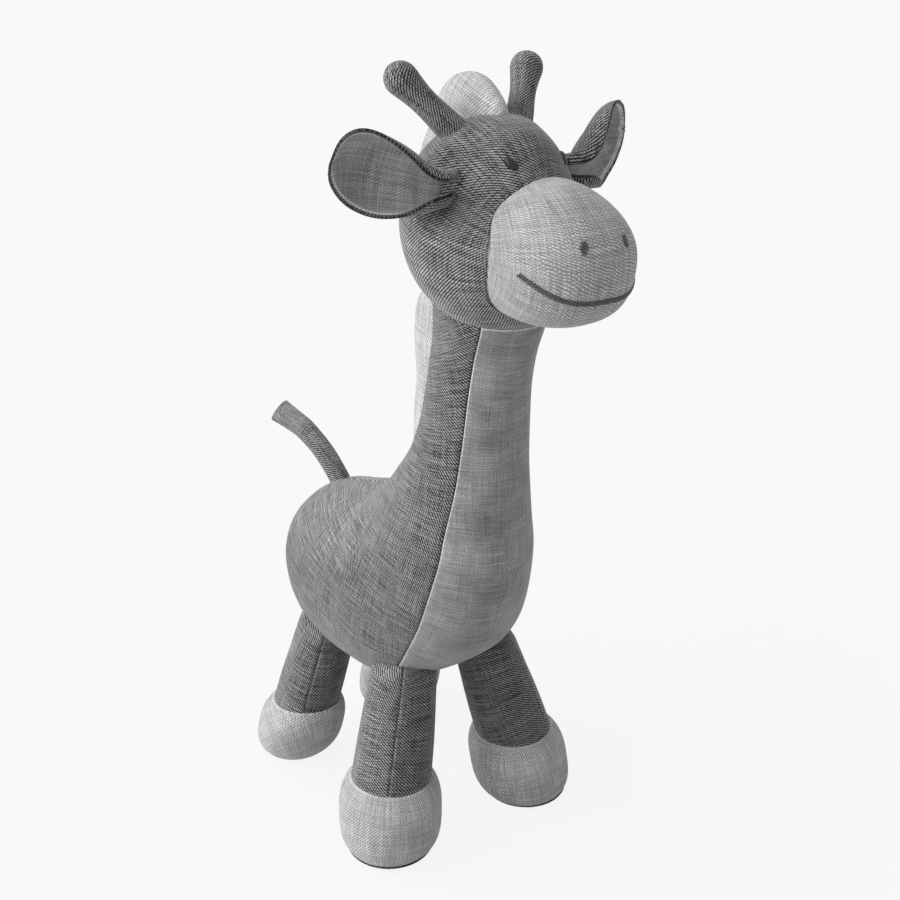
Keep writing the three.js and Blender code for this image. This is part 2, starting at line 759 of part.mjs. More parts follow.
// The pocket that a leg swings in: its rings are drawn out forward and back as far as the leg reaches
function hipPocket(leg, side) {
  const seam = seamPlace(leg, side);
  const lean = Math.atan2(seam.y, -seam.z);
  const radius = leg.topRadius + swingGap;
  const rings = domeRings(radius);
  for (const share of [0, 1]) {
    const centre = seam.clone().multiplyScalar(share);
    const inner = THREE.MathUtils.lerp(radius, leg.footRadius + swingGap, share);
    const round = inner / Math.cos(Math.PI / legSides);
    rings.push(levelRing(centre, round, legSides).map((point) => {
      const way = Math.sign(point.y - centre.y);
      if (Math.abs(point.y - centre.y) < radius / legSides) return point;
      const tilt = lean + way * THREE.MathUtils.degToRad(legSwing);
      const reach = way * (round / Math.cos(tilt)) - centre.z * Math.tan(tilt);
      return point.setY(point.y + reach - (centre.y + way * round));
    }));
  }
  return solid(skin(new THREE.Vector3(0, 0, radius), rings, seam)).translate(hipPlace(leg, side).toArray());
}

// A squarish ball that leans from its sole to its top seam
function hoofForm(leg, side, inset) {
  const half = leg.hoofTop / 2;
  const sole = solePlace(leg, side);
  const lean = seamPlace(leg, side).sub(sole);
  const rings = [];
  for (let i = 1; i < hoofRings; i++) {
    const turn = (i * Math.PI) / hoofRings;
    const across = Math.sin(turn);
    const rise = Math.cos(turn);
    const size = (across ** hoofSquareness + Math.abs(rise) ** hoofSquareness) ** (1 / hoofSquareness);
    const height = half + (rise / size) * (half - inset);
    const centre = sole.clone().addScaledVector(lean, height / lean.z);
    rings.push(levelRing(centre, (across / size) * (leg.hoofRadius - inset), legSides));
  }
  const top = sole.clone().addScaledVector(lean, (leg.hoofTop - inset) / lean.z);
  const bottom = sole.clone().addScaledVector(lean, inset / lean.z);
  return skin(top, rings, bottom);
}

// A slab that cuts everything lower than the top of the sole
function soleSlab(leg) {
  const high = soleThickness + seamGap;
  const slab = new THREE.BoxGeometry(trunkLength, trunkLength, high + overrun);
  return solid(slab.translate(0, 0, (high - overrun) / 2 - leg.hipHeight));
}

// The half space on one side of a leg's front and back seams
function seamHalfSpace(leg, side, outer) {
  const face = new THREE.BoxGeometry(trunkLength, trunkLength, 4 * leg.hipHeight);
  face.translate(outer * (trunkLength / 2 + seamHalf), 0, 0);
  face.rotateZ(side * THREE.MathUtils.degToRad(legSeamTurn));
  const lean = seamPlace(leg, side);
  const shear = new THREE.Matrix4().set(
    1, 0, lean.x / lean.z, 0,
    0, 1, lean.y / lean.z, 0,
    0, 0, 1, 0,
    0, 0, 0, 1,
  );
  return solid(face.applyMatrix4(shear));
}

function legGroup(end, side) {
  const leg = legOf(end, side);
  const label = `${end}_${sideOf(side)}`;
  const group = new THREE.Group();
  group.position.copy(hipPlace(leg, side));

  const hoof = solid(hoofForm(leg, side, 0));
  const post = solid(legForm(leg, side, 0, overrun)).subtract(solid(legForm(leg, side, cloth, 2 * overrun)));
  for (const outer of [-1, 1]) {
    const half = post.subtract(hoof).intersect(seamHalfSpace(leg, side, outer));
    const place = outer === side ? 'outer' : 'inner';
    group.add(piece(`leg_panel_${place}_${label}`, half, darkTwill));
  }
  const hoofCover = hoof.subtract(solid(hoofForm(leg, side, cloth)))
    .subtract(solid(legForm(leg, side, -seamGap, overrun))).subtract(soleSlab(leg));
  group.add(piece(`hoof_cover_${label}`, hoofCover, paleTwill));
  const inset = cloth + fillGap;
  const fill = solid(legForm(leg, side, inset, 0)).add(solid(hoofForm(leg, side, inset)));
  group.add(piece(`leg_stuffing_${label}`, fill.subtract(soleSlab(leg)), stuffing));

  const sole = new THREE.CylinderGeometry(
    leg.soleRadius, leg.soleRadius - soleTaper, soleThickness, soleSides,
  );
  sole.rotateX(Math.PI / 2);
  sole.translate(...solePlace(leg, side).toArray());
  sole.translate(0, 0, soleThickness / 2);
  group.add(piece(`sole_${label}`, solid(sole), darkTwill));
  return group;
}

// Tail: a stuffed tube that rises from the rump and bends back, with a square end. Its route is in
// shares of its length and rise.
const tailRouteShares = [[0, 0], [0.10, 0.33], [0.32, 0.72], [0.58, 0.95], [0.80, 1], [1, 1.02]];
const tailRootShares = [0.835, 0.70];
const tailBendShare = 1.4;

function tailRoute() {
  return new THREE.CatmullRomCurve3(tailRouteShares.map(([along, rise]) => (
    new THREE.Vector3(0, along * tailLength, rise * tailRise)
  )));
}

// The round inner end of the tail, or of the pocket that it swings in
function rootRings(along, radius) {
  return domeShares.map((share) => {
    const turn = (share * Math.PI) / 2;
    const centre = along.clone().multiplyScalar(-radius * Math.sin(turn));
    return tubeRing(centre, along, radius * Math.cos(turn), tailSides);
  });
}

// The tail made thinner by an inset, and shorter at its square end by a trim
function tailForm(inset, trim) {
  const route = tailRoute();
  const first = route.getTangentAt(0);
  const rings = rootRings(first, tailRadius - inset);
  const end = 1 - trim / route.getLength();
  for (let i = 0; i <= tailSteps; i++) {
    const share = (end * i) / tailSteps;
    const radius = tailRadius + tailFlare * share - inset;
    rings.push(tubeRing(route.getPointAt(share), route.getTangentAt(share), radius, tailSides));
  }
  return skin(first.clone().multiplyScalar(inset - tailRadius), rings, route.getPointAt(end));
}

// The mouth of the pocket is wider than the swing alone asks for, as the tail bends
function tailPocket() {
  const along = tailRoute().getTangentAt(0);
  const widen = tailBendShare * Math.tan(THREE.MathUtils.degToRad(tailSwing));
  const radius = tailRadius + swingGap;
  const depth = 3 * overrun;
  const mouth = along.clone().multiplyScalar(depth);
  const rings = rootRings(along, radius);
  rings.push(tubeRing(new THREE.Vector3(), along, radius, tailSides));
  rings.push(tubeRing(mouth, along, radius + depth * widen, tailSides));
  return solid(skin(along.clone().multiplyScalar(-radius), rings, mouth))
    .translate(trunkPoint(...tailRootShares).toArray());
}

function tailGroup() {
  const group = new THREE.Group();
  group.position.copy(trunkPoint(...tailRootShares));
  // The seam allowance at the root is left open, as sewn
  const open = new THREE.BoxGeometry(4 * tailRadius, 4 * tailRadius, 4 * tailRadius);
  open.translate(0, 0, -2 * tailRadius);
  open.applyQuaternion(new THREE.Quaternion().setFromUnitVectors(upAxis, tailRoute().getTangentAt(0)));
  const cover = solid(tailForm(0, 0)).subtract(solid(tailForm(cloth, cloth))).subtract(solid(open));
  const inset = cloth + fillGap;
  group.add(piece('tail', cover, darkTwill));
  group.add(piece('tail_stuffing', solid(tailForm(inset, inset)).subtract(solid(open)), stuffing));
  return group;
}

const whole = new THREE.Group();

const head = headForm();
const headCup = solid(offset(head, swingGap)).translate([0, headForward, headHeight]);
const stands = ['front', 'rear'].flatMap((end) => [-1, 1].map((side) => [end, side]));
const pockets = stands.map(([end, side]) => hipPocket(legOf(end, side), side));
whole.add(trunkGroup(bodyForm(), [...pockets, tailPocket()], headCup));
whole.add(tailGroup());
whole.add(headGroup(head, muzzleForm()));
for (const [end, side] of stands) whole.add(legGroup(end, side));

// The origin is on the floor, under the middle of the toy
const extent = new THREE.Box3().setFromObject(whole);
const middle = extent.getCenter(new THREE.Vector3());
whole.position.set(-middle.x, -middle.y, -extent.min.z);

export default whole;
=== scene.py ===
import json
from bisect import bisect_right
from contextlib import contextmanager
from functools import partialmethod
from itertools import accumulate
from math import cos, dist, hypot, pi, radians, sin, sqrt, tan

import bmesh
import bpy
from mathutils import Matrix, Vector, noise
from mathutils.kdtree import KDTree


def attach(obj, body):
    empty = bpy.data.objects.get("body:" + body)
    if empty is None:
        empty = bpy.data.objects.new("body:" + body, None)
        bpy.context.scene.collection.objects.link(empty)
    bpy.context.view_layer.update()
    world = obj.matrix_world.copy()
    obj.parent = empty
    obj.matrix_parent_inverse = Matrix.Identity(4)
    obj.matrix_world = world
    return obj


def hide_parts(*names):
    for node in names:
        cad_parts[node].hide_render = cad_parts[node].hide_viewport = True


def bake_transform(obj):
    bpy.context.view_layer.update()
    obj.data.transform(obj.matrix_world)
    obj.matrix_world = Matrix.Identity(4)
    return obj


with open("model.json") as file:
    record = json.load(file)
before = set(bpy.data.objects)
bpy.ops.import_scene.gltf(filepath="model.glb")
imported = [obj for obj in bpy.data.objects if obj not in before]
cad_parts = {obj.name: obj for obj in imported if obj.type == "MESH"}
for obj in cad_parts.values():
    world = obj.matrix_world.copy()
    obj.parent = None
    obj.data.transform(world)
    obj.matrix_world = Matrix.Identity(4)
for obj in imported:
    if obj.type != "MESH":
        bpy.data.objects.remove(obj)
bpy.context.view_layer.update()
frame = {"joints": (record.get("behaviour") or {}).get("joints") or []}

mm = 0.001
pivots = {joint["name"]: Vector(joint["pos_m"]) for joint in frame["joints"]}
bpy.ops.object.select_all(action="DESELECT")


# The view. A toy photographed from its front right and a little above, close enough to foreshorten
# the feet, in front of a plain pale sweep, with broad soft light from the left.
view_place = (-0.3176, -0.4971, 0.4344)
view_pitch = 67.15
view_turn = -34.36
view_lens = 53.96
key_turn = -118
key_height = 27
key_breadth = 80
key_strength = 2.85
glint_breadth = 6
glint_strength = 0.3
sky_strength = 0.39
floor_reach = 30
pale = (1.0, 1.0, 1.0, 1)
ground_colour = (0.62, 0.62, 0.62, 1)
shadow_share = 0.12


def add_object(name, data):
    thing = bpy.data.objects.new(name, data)
    bpy.context.scene.collection.objects.link(thing)
    return thing


camera = add_object("view", bpy.data.cameras.new("view"))
camera.location = view_place
camera.rotation_euler = (radians(view_pitch), 0, radians(view_turn))
camera.data.lens = view_lens
camera.data.clip_start = 0.01
bpy.context.scene.camera = camera
bpy.context.scene.view_settings.view_transform = "Standard"

for name, strength, breadth in (
    ("key_light", key_strength, key_breadth), ("glint", glint_strength, glint_breadth),
):
    light = add_object(name, bpy.data.lights.new(name, "SUN"))
    light.data.energy = strength
    light.data.angle = radians(breadth)
    light.rotation_euler = (radians(90 - key_height), 0, radians(key_turn))


class Wire:
    """A value that flows between shader nodes. Sums and products of wires become Math nodes."""

    def __init__(self, finish, socket):
        self.finish = finish
        self.socket = socket

    def math(self, operation, *others):
        return self.finish.node("ShaderNodeMath", (self, *others), operation=operation)

    def __rsub__(self, other):
        return (self * -1) + other

    __add__ = __radd__ = partialmethod(math, "ADD")
    __mul__ = __rmul__ = partialmethod(math, "MULTIPLY")
    __sub__ = partialmethod(math, "SUBTRACT")
    __truediv__ = partialmethod(math, "DIVIDE")
    __pow__ = partialmethod(math, "POWER")

    def limited(self, low=0.0, high=1.0):
        return self.finish.node("ShaderNodeClamp", {"Value": self, "Min": low, "Max": high})

    def ramp(self, low, high):
        """0 up to low, 1 from high on, and smooth between them."""
        values = {"Value": self, "From Min": low, "From Max": high}
        return self.finish.node("ShaderNodeMapRange", values, interpolation_type="SMOOTHSTEP")


class Finish:
    """The shader of a material or a world while it is being put together."""

    def __init__(self, holder):
        self.holder = holder
        holder.use_nodes = True
        self.tree = holder.node_tree
        self.tree.nodes.clear()

    def node(self, kind, values=(), output=0, **settings):
        made = self.tree.nodes.new(kind)
        for key_word, setting in settings.items():
            setattr(made, key_word, setting)
        pairs = values.items() if isinstance(values, dict) else enumerate(values)
        for socket, value in pairs:
            if isinstance(value, Wire):
                self.tree.links.new(value.socket, made.inputs[socket])
            else:
                made.inputs[socket].default_value = value
        return Wire(self, made.outputs[output])

    def mix(self, share, first, second, blend="MIX"):
        """Colours mixed by a share. The colour sockets of a Mix node are its seventh and eighth."""
        return self.node(
            "ShaderNodeMix", {0: share, 6: first, 7: second}, output=2, data_type="RGBA", blend_type=blend,
        )

    def seen_by_eye(self):
        """1 where the camera or a reflection looks, and 0 where light only bounces."""
        camera_ray = self.node("ShaderNodeLightPath", output="Is Camera Ray")
        glossy_ray = self.node("ShaderNodeLightPath", output="Is Glossy Ray")
        return (camera_ray + glossy_ray).limited()

    def surface(self, shader, ending="ShaderNodeOutputMaterial"):
        self.tree.links.new(shader.socket, self.tree.nodes.new(ending).inputs["Surface"])
        return self.holder


def sweep_finish():
    """Shows as an even pale ground to the eye and in reflections, and keeps a faint shadow."""
    finish = Finish(bpy.data.materials.new("pale_ground"))
    seen = finish.seen_by_eye() * (1 - shadow_share)
    ground = finish.node("ShaderNodeBsdfDiffuse", {"Color": ground_colour})
    glow = finish.node("ShaderNodeEmission", {"Color": pale, "Strength": 1.0})
    return finish.surface(finish.node("ShaderNodeMixShader", (seen, ground, glow)))


bpy.ops.mesh.primitive_plane_add(size=floor_reach)
floor = bpy.context.object
floor.name = "floor"
floor.data.materials.append(sweep_finish())
floor.select_set(False)


def sky_world():
    """Even soft light, that shows as the same pale ground to the eye and in reflections."""
    finish = Finish(bpy.data.worlds.new("sky"))
    lighting = finish.node("ShaderNodeBackground", {"Color": pale, "Strength": sky_strength})
    shown = finish.node("ShaderNodeBackground", {"Color": pale, "Strength": 1.0})
    mixed = finish.node("ShaderNodeMixShader", (finish.seen_by_eye(), lighting, shown))
    return finish.surface(mixed, "ShaderNodeOutputWorld")


bpy.context.scene.world = sky_world()


# Trunk and neck cover. Three panels of twill, a mid grey one over chest and belly and two dark ones
# on the sides, sewn right sides together, turned and stuffed. Chest and side meet in one long seam
# from under the chin down past the front leg.
head_forward = -26 * mm
foot_line = pivots["head_nod"].y - head_forward
chest_front = -36.5 * mm
trunk_length = 166.5 * mm
belly_height = 69 * mm
trunk_depth = 94.5 * mm
trunk_width = 83.5 * mm
neck_depth = 51 * mm
neck_width = 41 * mm
neck_rise = 105 * mm
trunk_top = belly_height + trunk_depth
neck_top = trunk_top + neck_rise
cloth = 1.0 * mm
cloth_step = 4.6 * mm
weld = 0.02 * mm
cloth_mass = 0.0006
stuffing_push = 4.0
stuffing_frames = 20
body_swell = 1.6 * mm
lump_size = 16 * mm
side_columns = 30
chest_columns = 14
skyward = Vector((0, 0, 1))

# Rungs from the rump round the belly and up the neck: shares of length and depth on the back line,
# the same on the belly line, of the half width, and how square the belly side is
trunk_rung_shares = (
    (0.985, 0.603, 0.985, 0.280, 0.39, 2),
    (0.937, 0.735, 0.937, 0.159, 0.67, 2.1),
    (0.868, 0.825, 0.862, 0.063, 0.86, 2.3),
    (0.781, 0.873, 0.772, 0.011, 0.965, 2.5),
    (0.685, 0.931, 0.670, 0.000, 1.00, 2.8),
    (0.562, 1.000, 0.453, 0.042, 0.99, 3.2),
    (0.532, 1.037, 0.333, 0.106, 0.975, 3.2),
    (0.508, 1.079, 0.225, 0.212, 0.91, 2.8),
    (0.468, 1.160, 0.080, 0.470, 0.84, 2.3),
    (0.417, 1.270, 0.010, 0.815, 0.75, 2.1),
    (0.381, 1.354, 0.000, 1.026, 0.67, 2),
)
rump_pole_shares = (1, 0.44)
neck_rung_shares = (
    (1.140, 0.405, 0.004, 0.195, 1.23),
    (1.050, 0.510, 0.004, 0.376, 1.12),
    (0.985, 0.633, -0.016, 0.557, 1.05),
    (0.940, 0.757, -0.049, 0.719, 1.00),
    (0.880, 0.881, -0.108, 0.862, 1.00),
    (0.860, 1.014, -0.205, 0.986, 1.06),
    (0.850, 1.186, -0.255, 1.081, 1.12),
)
chest_seam_shares = (
    (-0.1, 0.60), (0.28, 0.64), (0.33, 0.69), (0.385, 0.73), (0.45, 0.725), (0.52, 0.695), (0.628, 0.60),
    (0.69, 0.517), (0.76, 0.45), (0.81, 0.43), (0.88, 0.40), (0.95, 0.39), (1.00, 0.41), (1.12, 0.44),
)
gusset_end_share = 0.80
gusset_taper = 22 * mm


def trunk_point(length_share, depth_share):
    return Vector((0, foot_line + chest_front + length_share * trunk_length,
                   belly_height + depth_share * trunk_depth))


def neck_point(depth_share, rise_share):
    along = foot_line + chest_front + depth_share * neck_depth
    return Vector((0, along, trunk_top + rise_share * neck_rise))


def read_off(table, place, blur=0.02):
    """A smooth reading of a table of (place, value) pairs, averaged over a short stretch."""
    def straight(at):
        places = [row[0] for row in table]
        at = min(max(at, places[0]), places[-1])
        above = min(max(1, bisect_right(places, at)), len(table) - 1)
        (a, low), (b, high) = table[above - 1], table[above]
        return low + (high - low) * (at - a) / (b - a)

    reads = [straight(place + blur * step) for step in (-2, -1, 0, 1, 2)]
    return sum(reads) / len(reads)


def through(rungs, place):
    """Rungs read along one smooth curve through them all; place counts rungs from the first."""
    low = min(max(int(place), 0), len(rungs) - 2)
    t = place - low
    a, b, c, d = (rungs[min(max(low + k, 0), len(rungs) - 1)] for k in (-1, 0, 1, 2))
    weights = (
        (-t + 2 * t * t - t ** 3) / 2, (2 - 5 * t * t + 3 * t ** 3) / 2,
        (t + 4 * t * t - 3 * t ** 3) / 2, (t ** 3 - t * t) / 2,
    )
    return tuple(
        p * weights[0] + q * weights[1] + r * weights[2] + s * weights[3] for p, q, r, s in zip(a, b, c, d)
    )


def ring_point(rung, turn):
    back, belly, half, squareness = rung
    along, across = cos(turn), sin(turn)
    power = squareness if along < 0 else 2
    size = (abs(along) ** power + abs(across) ** power) ** (1 / power)
    point = (back + belly) / 2 + (back - belly) / 2 * (along / size)
    point.x += half * across / size
    return point


body_rungs = [
    (trunk_point(a, b), trunk_point(c, d), half * trunk_width / 2, square)
    for a, b, c, d, half, square in trunk_rung_shares
] + [
    (neck_point(a, b), neck_point(c, d), half * neck_width / 2, 2)
    for a, b, c, d, half in neck_rung_shares
]


def body_rung(place):
    """The rung at a place from 0 at the rump's pole, through 1 at the first rung, to the neck's top."""
    if place >= 1:
        return through(body_rungs, place - 1)
    pole = trunk_point(*rump_pole_shares)
    back, belly, half, square = body_rungs[0]
    flat = Vector((0, pole.y + (back.y - pole.y) * place * place, 0))
    return (
        flat + skyward * (pole.z + (back.z - pole.z) * place),
        flat + skyward * (pole.z + (belly.z - pole.z) * place),
        half * place, square,
    )


def spread(start, end, count):
    """Values at equal steps from a start to an end."""
    return [start + (end - start) * k / count for k in range(count + 1)]


def travelled(steps):
    """How far along a route each of its points lies, from the lengths of its steps."""
    return [0, *accumulate(steps)]


def stretch_at(travel, way):
    """The last point of a route before a way along it, and the share of the next step then passed."""
    above = min(max(1, bisect_right(travel, way)), len(travel) - 1)
    gap = travel[above] - travel[above - 1]
    return above - 1, min((way - travel[above - 1]) / gap, 1) if gap else 0


def even_places(measure, last, step):
    """Places from 0 to last that lie about a step apart by a measure of the way between two places."""
    fine = spread(0, last, 600)
    travel = travelled(measure(a, b) for a, b in zip(fine, fine[1:]))
    places = []
    for way in spread(0, travel[-1], max(2, round(travel[-1] / step))):
        before, share = stretch_at(travel, way)
        places.append(fine[before] + (fine[before + 1] - fine[before]) * share)
    return places


def rung_travel(a, b):
    """The mean of the ways along the back, the side and the belly."""
    first, second = body_rung(a), body_rung(b)
    ways = [(ring_point(first, turn) - ring_point(second, turn)).length for turn in (0, pi / 2, pi)]
    return sum(ways) / 3


def seam_turn(rung):
    """The turn round a ring at which the chest seam crosses it."""
    end = foot_line + chest_front + gusset_end_share * trunk_length
    taper = min(1, max(0, (end - rung[1].y) / gusset_taper)) ** 0.6
    low, high = pi / 2, pi
    for _ in range(30):
        middle = (low + high) / 2
        point = ring_point(rung, middle)
        wide = taper * read_off(chest_seam_shares, point.z / neck_top) * trunk_width / 2
        if point.x > wide:
            low = middle
        else:
            high = middle
    return (low + high) / 2


def even_points(curve, start, end, count):
    """Points at equal steps along a curve of turns."""
    fine = [curve(turn) for turn in spread(start, end, 120)]
    travel = travelled((b - a).length for a, b in zip(fine, fine[1:]))
    points = []
    for way in spread(0, travel[-1], count):
        before, share = stretch_at(travel, way)
        points.append(fine[before].lerp(fine[before + 1], share))
    return points


def choose(piece):
    """Makes a piece the only selected and active one."""
    bpy.ops.object.select_all(action="DESELECT")
    piece.select_set(True)
    bpy.context.view_layer.objects.active = piece


@contextmanager
def editing(piece):
    """Edit mode on a piece, with all of it selected."""
    choose(piece)
    bpy.ops.object.mode_set(mode="EDIT")
    bpy.ops.mesh.select_all(action="SELECT")
    yield
    bpy.ops.object.mode_set(mode="OBJECT")


def cut_panel(name, rows, middle, mirrored=False):
    """A sheet of cloth through rows of points, with its face away from a middle point."""
    wide = len(rows[0])
    points = [point.copy() for row in rows for point in row]
    if mirrored:
        for point in points:
            point.x = -point.x
    faces = [
        (r * wide + c, r * wide + c + 1, (r + 1) * wide + c + 1, (r + 1) * wide + c)
        for r in range(len(rows) - 1) for c in range(wide - 1)
    ]
    mesh = bpy.data.meshes.new(name)
    mesh.from_pydata(points, [], faces)
    piece = add_object(name, mesh)
    with editing(piece):
        bpy.ops.mesh.remove_doubles(threshold=weld)
    face_out(piece, middle)
    return piece


def face_out(piece, middle):
    outward = sum(f.area * f.normal.dot((f.center - middle).normalized()) for f in piece.data.polygons)
    if outward < 0:
        piece.data.flip_normals()


def cut_apart(mesh):
    """The faces of a mesh in groups that its seams part."""
    beside = {}
    for face in mesh.polygons:
        for pair in face.edge_keys:
            beside.setdefault(pair, []).append(face.index)
    seams = {edge.key for edge in mesh.edges if edge.use_seam}
    left = set(range(len(mesh.polygons)))
    groups = []
    while left:
        group = []
        reached = [left.pop()]
        while reached:
            face = mesh.polygons[reached.pop()]
            group.append(face)
            for pair in face.edge_keys:
                fresh = [k for k in beside[pair] if k in left and pair not in seams]
                left.difference_update(fresh)
                reached.extend(fresh)
        groups.append(group)
    return groups


def lay_on_cloth(piece, grain, seam=None, shift=0):
    """Flattens a panel with little stretch and turns it on the cloth, so that its UVs are millimetres
    along and across the grain."""
    mesh = piece.data
    corners = mesh.vertices
    if seam:
        for edge in mesh.edges:
            edge.use_seam = all(seam(corners[k].co) for k in edge.vertices)
    with editing(piece):
        bpy.ops.uv.unwrap(method="MINIMUM_STRETCH", fill_holes=False, iterations=30)
    flat = mesh.uv_layers.active.data
    for faces in cut_apart(mesh):
        turn, real, drawn = 0j, 0, 0
        for face in faces:
            along = grain - face.normal * grain.dot(face.normal)
            if along.length < 0.05:
                continue
            along.normalize()
            across = along.cross(face.normal)
            loops = list(face.loop_indices)
            for a, b in zip(loops, loops[1:] + loops[:1]):
                edge = corners[mesh.loops[b].vertex_index].co - corners[mesh.loops[a].vertex_index].co
                place = complex(*(flat[b].uv - flat[a].uv))
                target = complex(edge.dot(across), edge.dot(along))
                turn += target * place.conjugate() / max(abs(place), 1e-9)
                real += abs(target)
                drawn += abs(place)
        scale = turn / abs(turn) * real / drawn / mm
        for face in faces:
            for k in face.loop_indices:
                place = complex(*flat[k].uv) * scale
                flat[k].uv = (place.real + shift, place.imag + shift)


def edge_corners(piece, wanted=None):
    """The corners on the open edges of a sheet that a test wants."""
    seen = {}
    for face in piece.data.polygons:
        for key_pair in face.edge_keys:
            seen[key_pair] = seen.get(key_pair, 0) + 1
    found = {k for pair, count in seen.items() if count == 1 for k in pair}
    return [k for k in found if wanted is None or wanted(piece.data.vertices[k].co)]


def stuff(piece, swell, held=None):
    """Swells a cover as its stuffing does: cloth pressed out from inside, held at its open edges or
    at the corners that are held, with no point moved further than the swell."""
    mesh = piece.data
    rest = [corner.co.copy() for corner in mesh.vertices]
    sewn = piece.vertex_groups.new(name="sewn")
    sewn.add(held or edge_corners(piece), 1, "REPLACE")
    simulated = piece.modifiers.new("filling", "CLOTH")
    simulated.settings.mass = cloth_mass
    simulated.settings.quality = 4
    simulated.settings.vertex_group_mass = "sewn"
    simulated.settings.use_pressure = True
    simulated.settings.uniform_pressure_force = stuffing_push
    simulated.settings.effector_weights.gravity = 0
    simulated.point_cache.frame_end = stuffing_frames
    for moment in range(1, stuffing_frames + 1):
        bpy.context.scene.frame_set(moment)
    shown = piece.evaluated_get(bpy.context.evaluated_depsgraph_get())
    swollen = [corner.co.copy() for corner in shown.data.vertices]
    piece.modifiers.remove(simulated)
    piece.vertex_groups.remove(sewn)
    for corner, start, end in zip(mesh.vertices, rest, swollen):
        move = end - start
        corner.co = start + move * min(1, swell / max(move.length, 1e-9))
    bpy.context.scene.frame_set(1)


def change(piece, kind, **settings):
    """Adds a modifier and applies it."""
    choose(piece)
    modifier = piece.modifiers.new(kind.lower(), kind)
    for key_word, setting in settings.items():
        setattr(modifier, key_word, setting)
    bpy.ops.object.modifier_apply(modifier=modifier.name)


def keep(mesh, kind, values):
    """Stores one value for each corner of a mesh, for its material to read."""
    mesh.attributes.new(kind, "FLOAT", "POINT").data.foreach_set("value", values)


def finish_cover(piece, levels, sewn=None, joined=None, roll=0.9 * mm, bend=1.7 * mm, wall=cloth,
                 ripple=0.22 * mm):
    """Fine cloth from a coarse sheet: smooth, a little uneven, turned in along its seams, and given
    its thickness. A seam is where an open edge is sewn, or where the distance that joined gives is
    nothing. How far the nearest seam is, in millimetres, and how far the cloth faces up are kept for
    the material."""
    change(piece, "SUBSURF", levels=levels, render_levels=levels)
    mesh = piece.data
    edges = edge_corners(piece, sewn) if sewn else []
    tree = KDTree(max(len(edges), 1))
    for k in edges:
        tree.insert(mesh.vertices[k].co, k)
    tree.balance()
    rim = []
    # How far each corner faces up, for the painted light on up-facing sides and the painted shade on the
    # up-facing head.
    upward = [min(max((corner.normal.z - 0.15) / 0.4, 0), 1) for corner in mesh.vertices]
    moved = []
    for corner in mesh.vertices:
        away = tree.find(corner.co)[2] if edges else 1
        away = min(away, abs(joined(corner.co))) if joined else away
        rim.append(away / mm)
        bumpy = noise.noise(corner.co / lump_size) * ripple * min(1, away / (4 * bend))
        near = max(0, 1 - away / bend)
        moved.append(corner.co + corner.normal * (bumpy - roll * (1 - sqrt(1 - near * near))))
    for corner, place in zip(mesh.vertices, moved):
        corner.co = place
    # How far the nearest seam is, for the painted shade in the seams and the painted highlight beside them.
    keep(mesh, "rim", rim)
    keep(mesh, "upward", upward)
    change(piece, "SOLIDIFY", thickness=wall, offset=-1, use_even_offset=False)
    smooth(piece)


def smooth(piece):
    choose(piece)
    bpy.ops.object.shade_smooth()
    piece.select_set(False)


def dress(piece, body, material, covers, give=None):
    """Gives a piece its finish, hides the parts of the model that it covers and attaches it to its
    body. A piece with a give is left unattached, with its place baked into its mesh."""
    piece.data.materials.clear()
    piece.data.materials.append(material)
    if give:
        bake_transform(piece)
    else:
        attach(piece, body)
    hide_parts(*covers)


def grey(value):
    return value, value, value * 0.985, 1


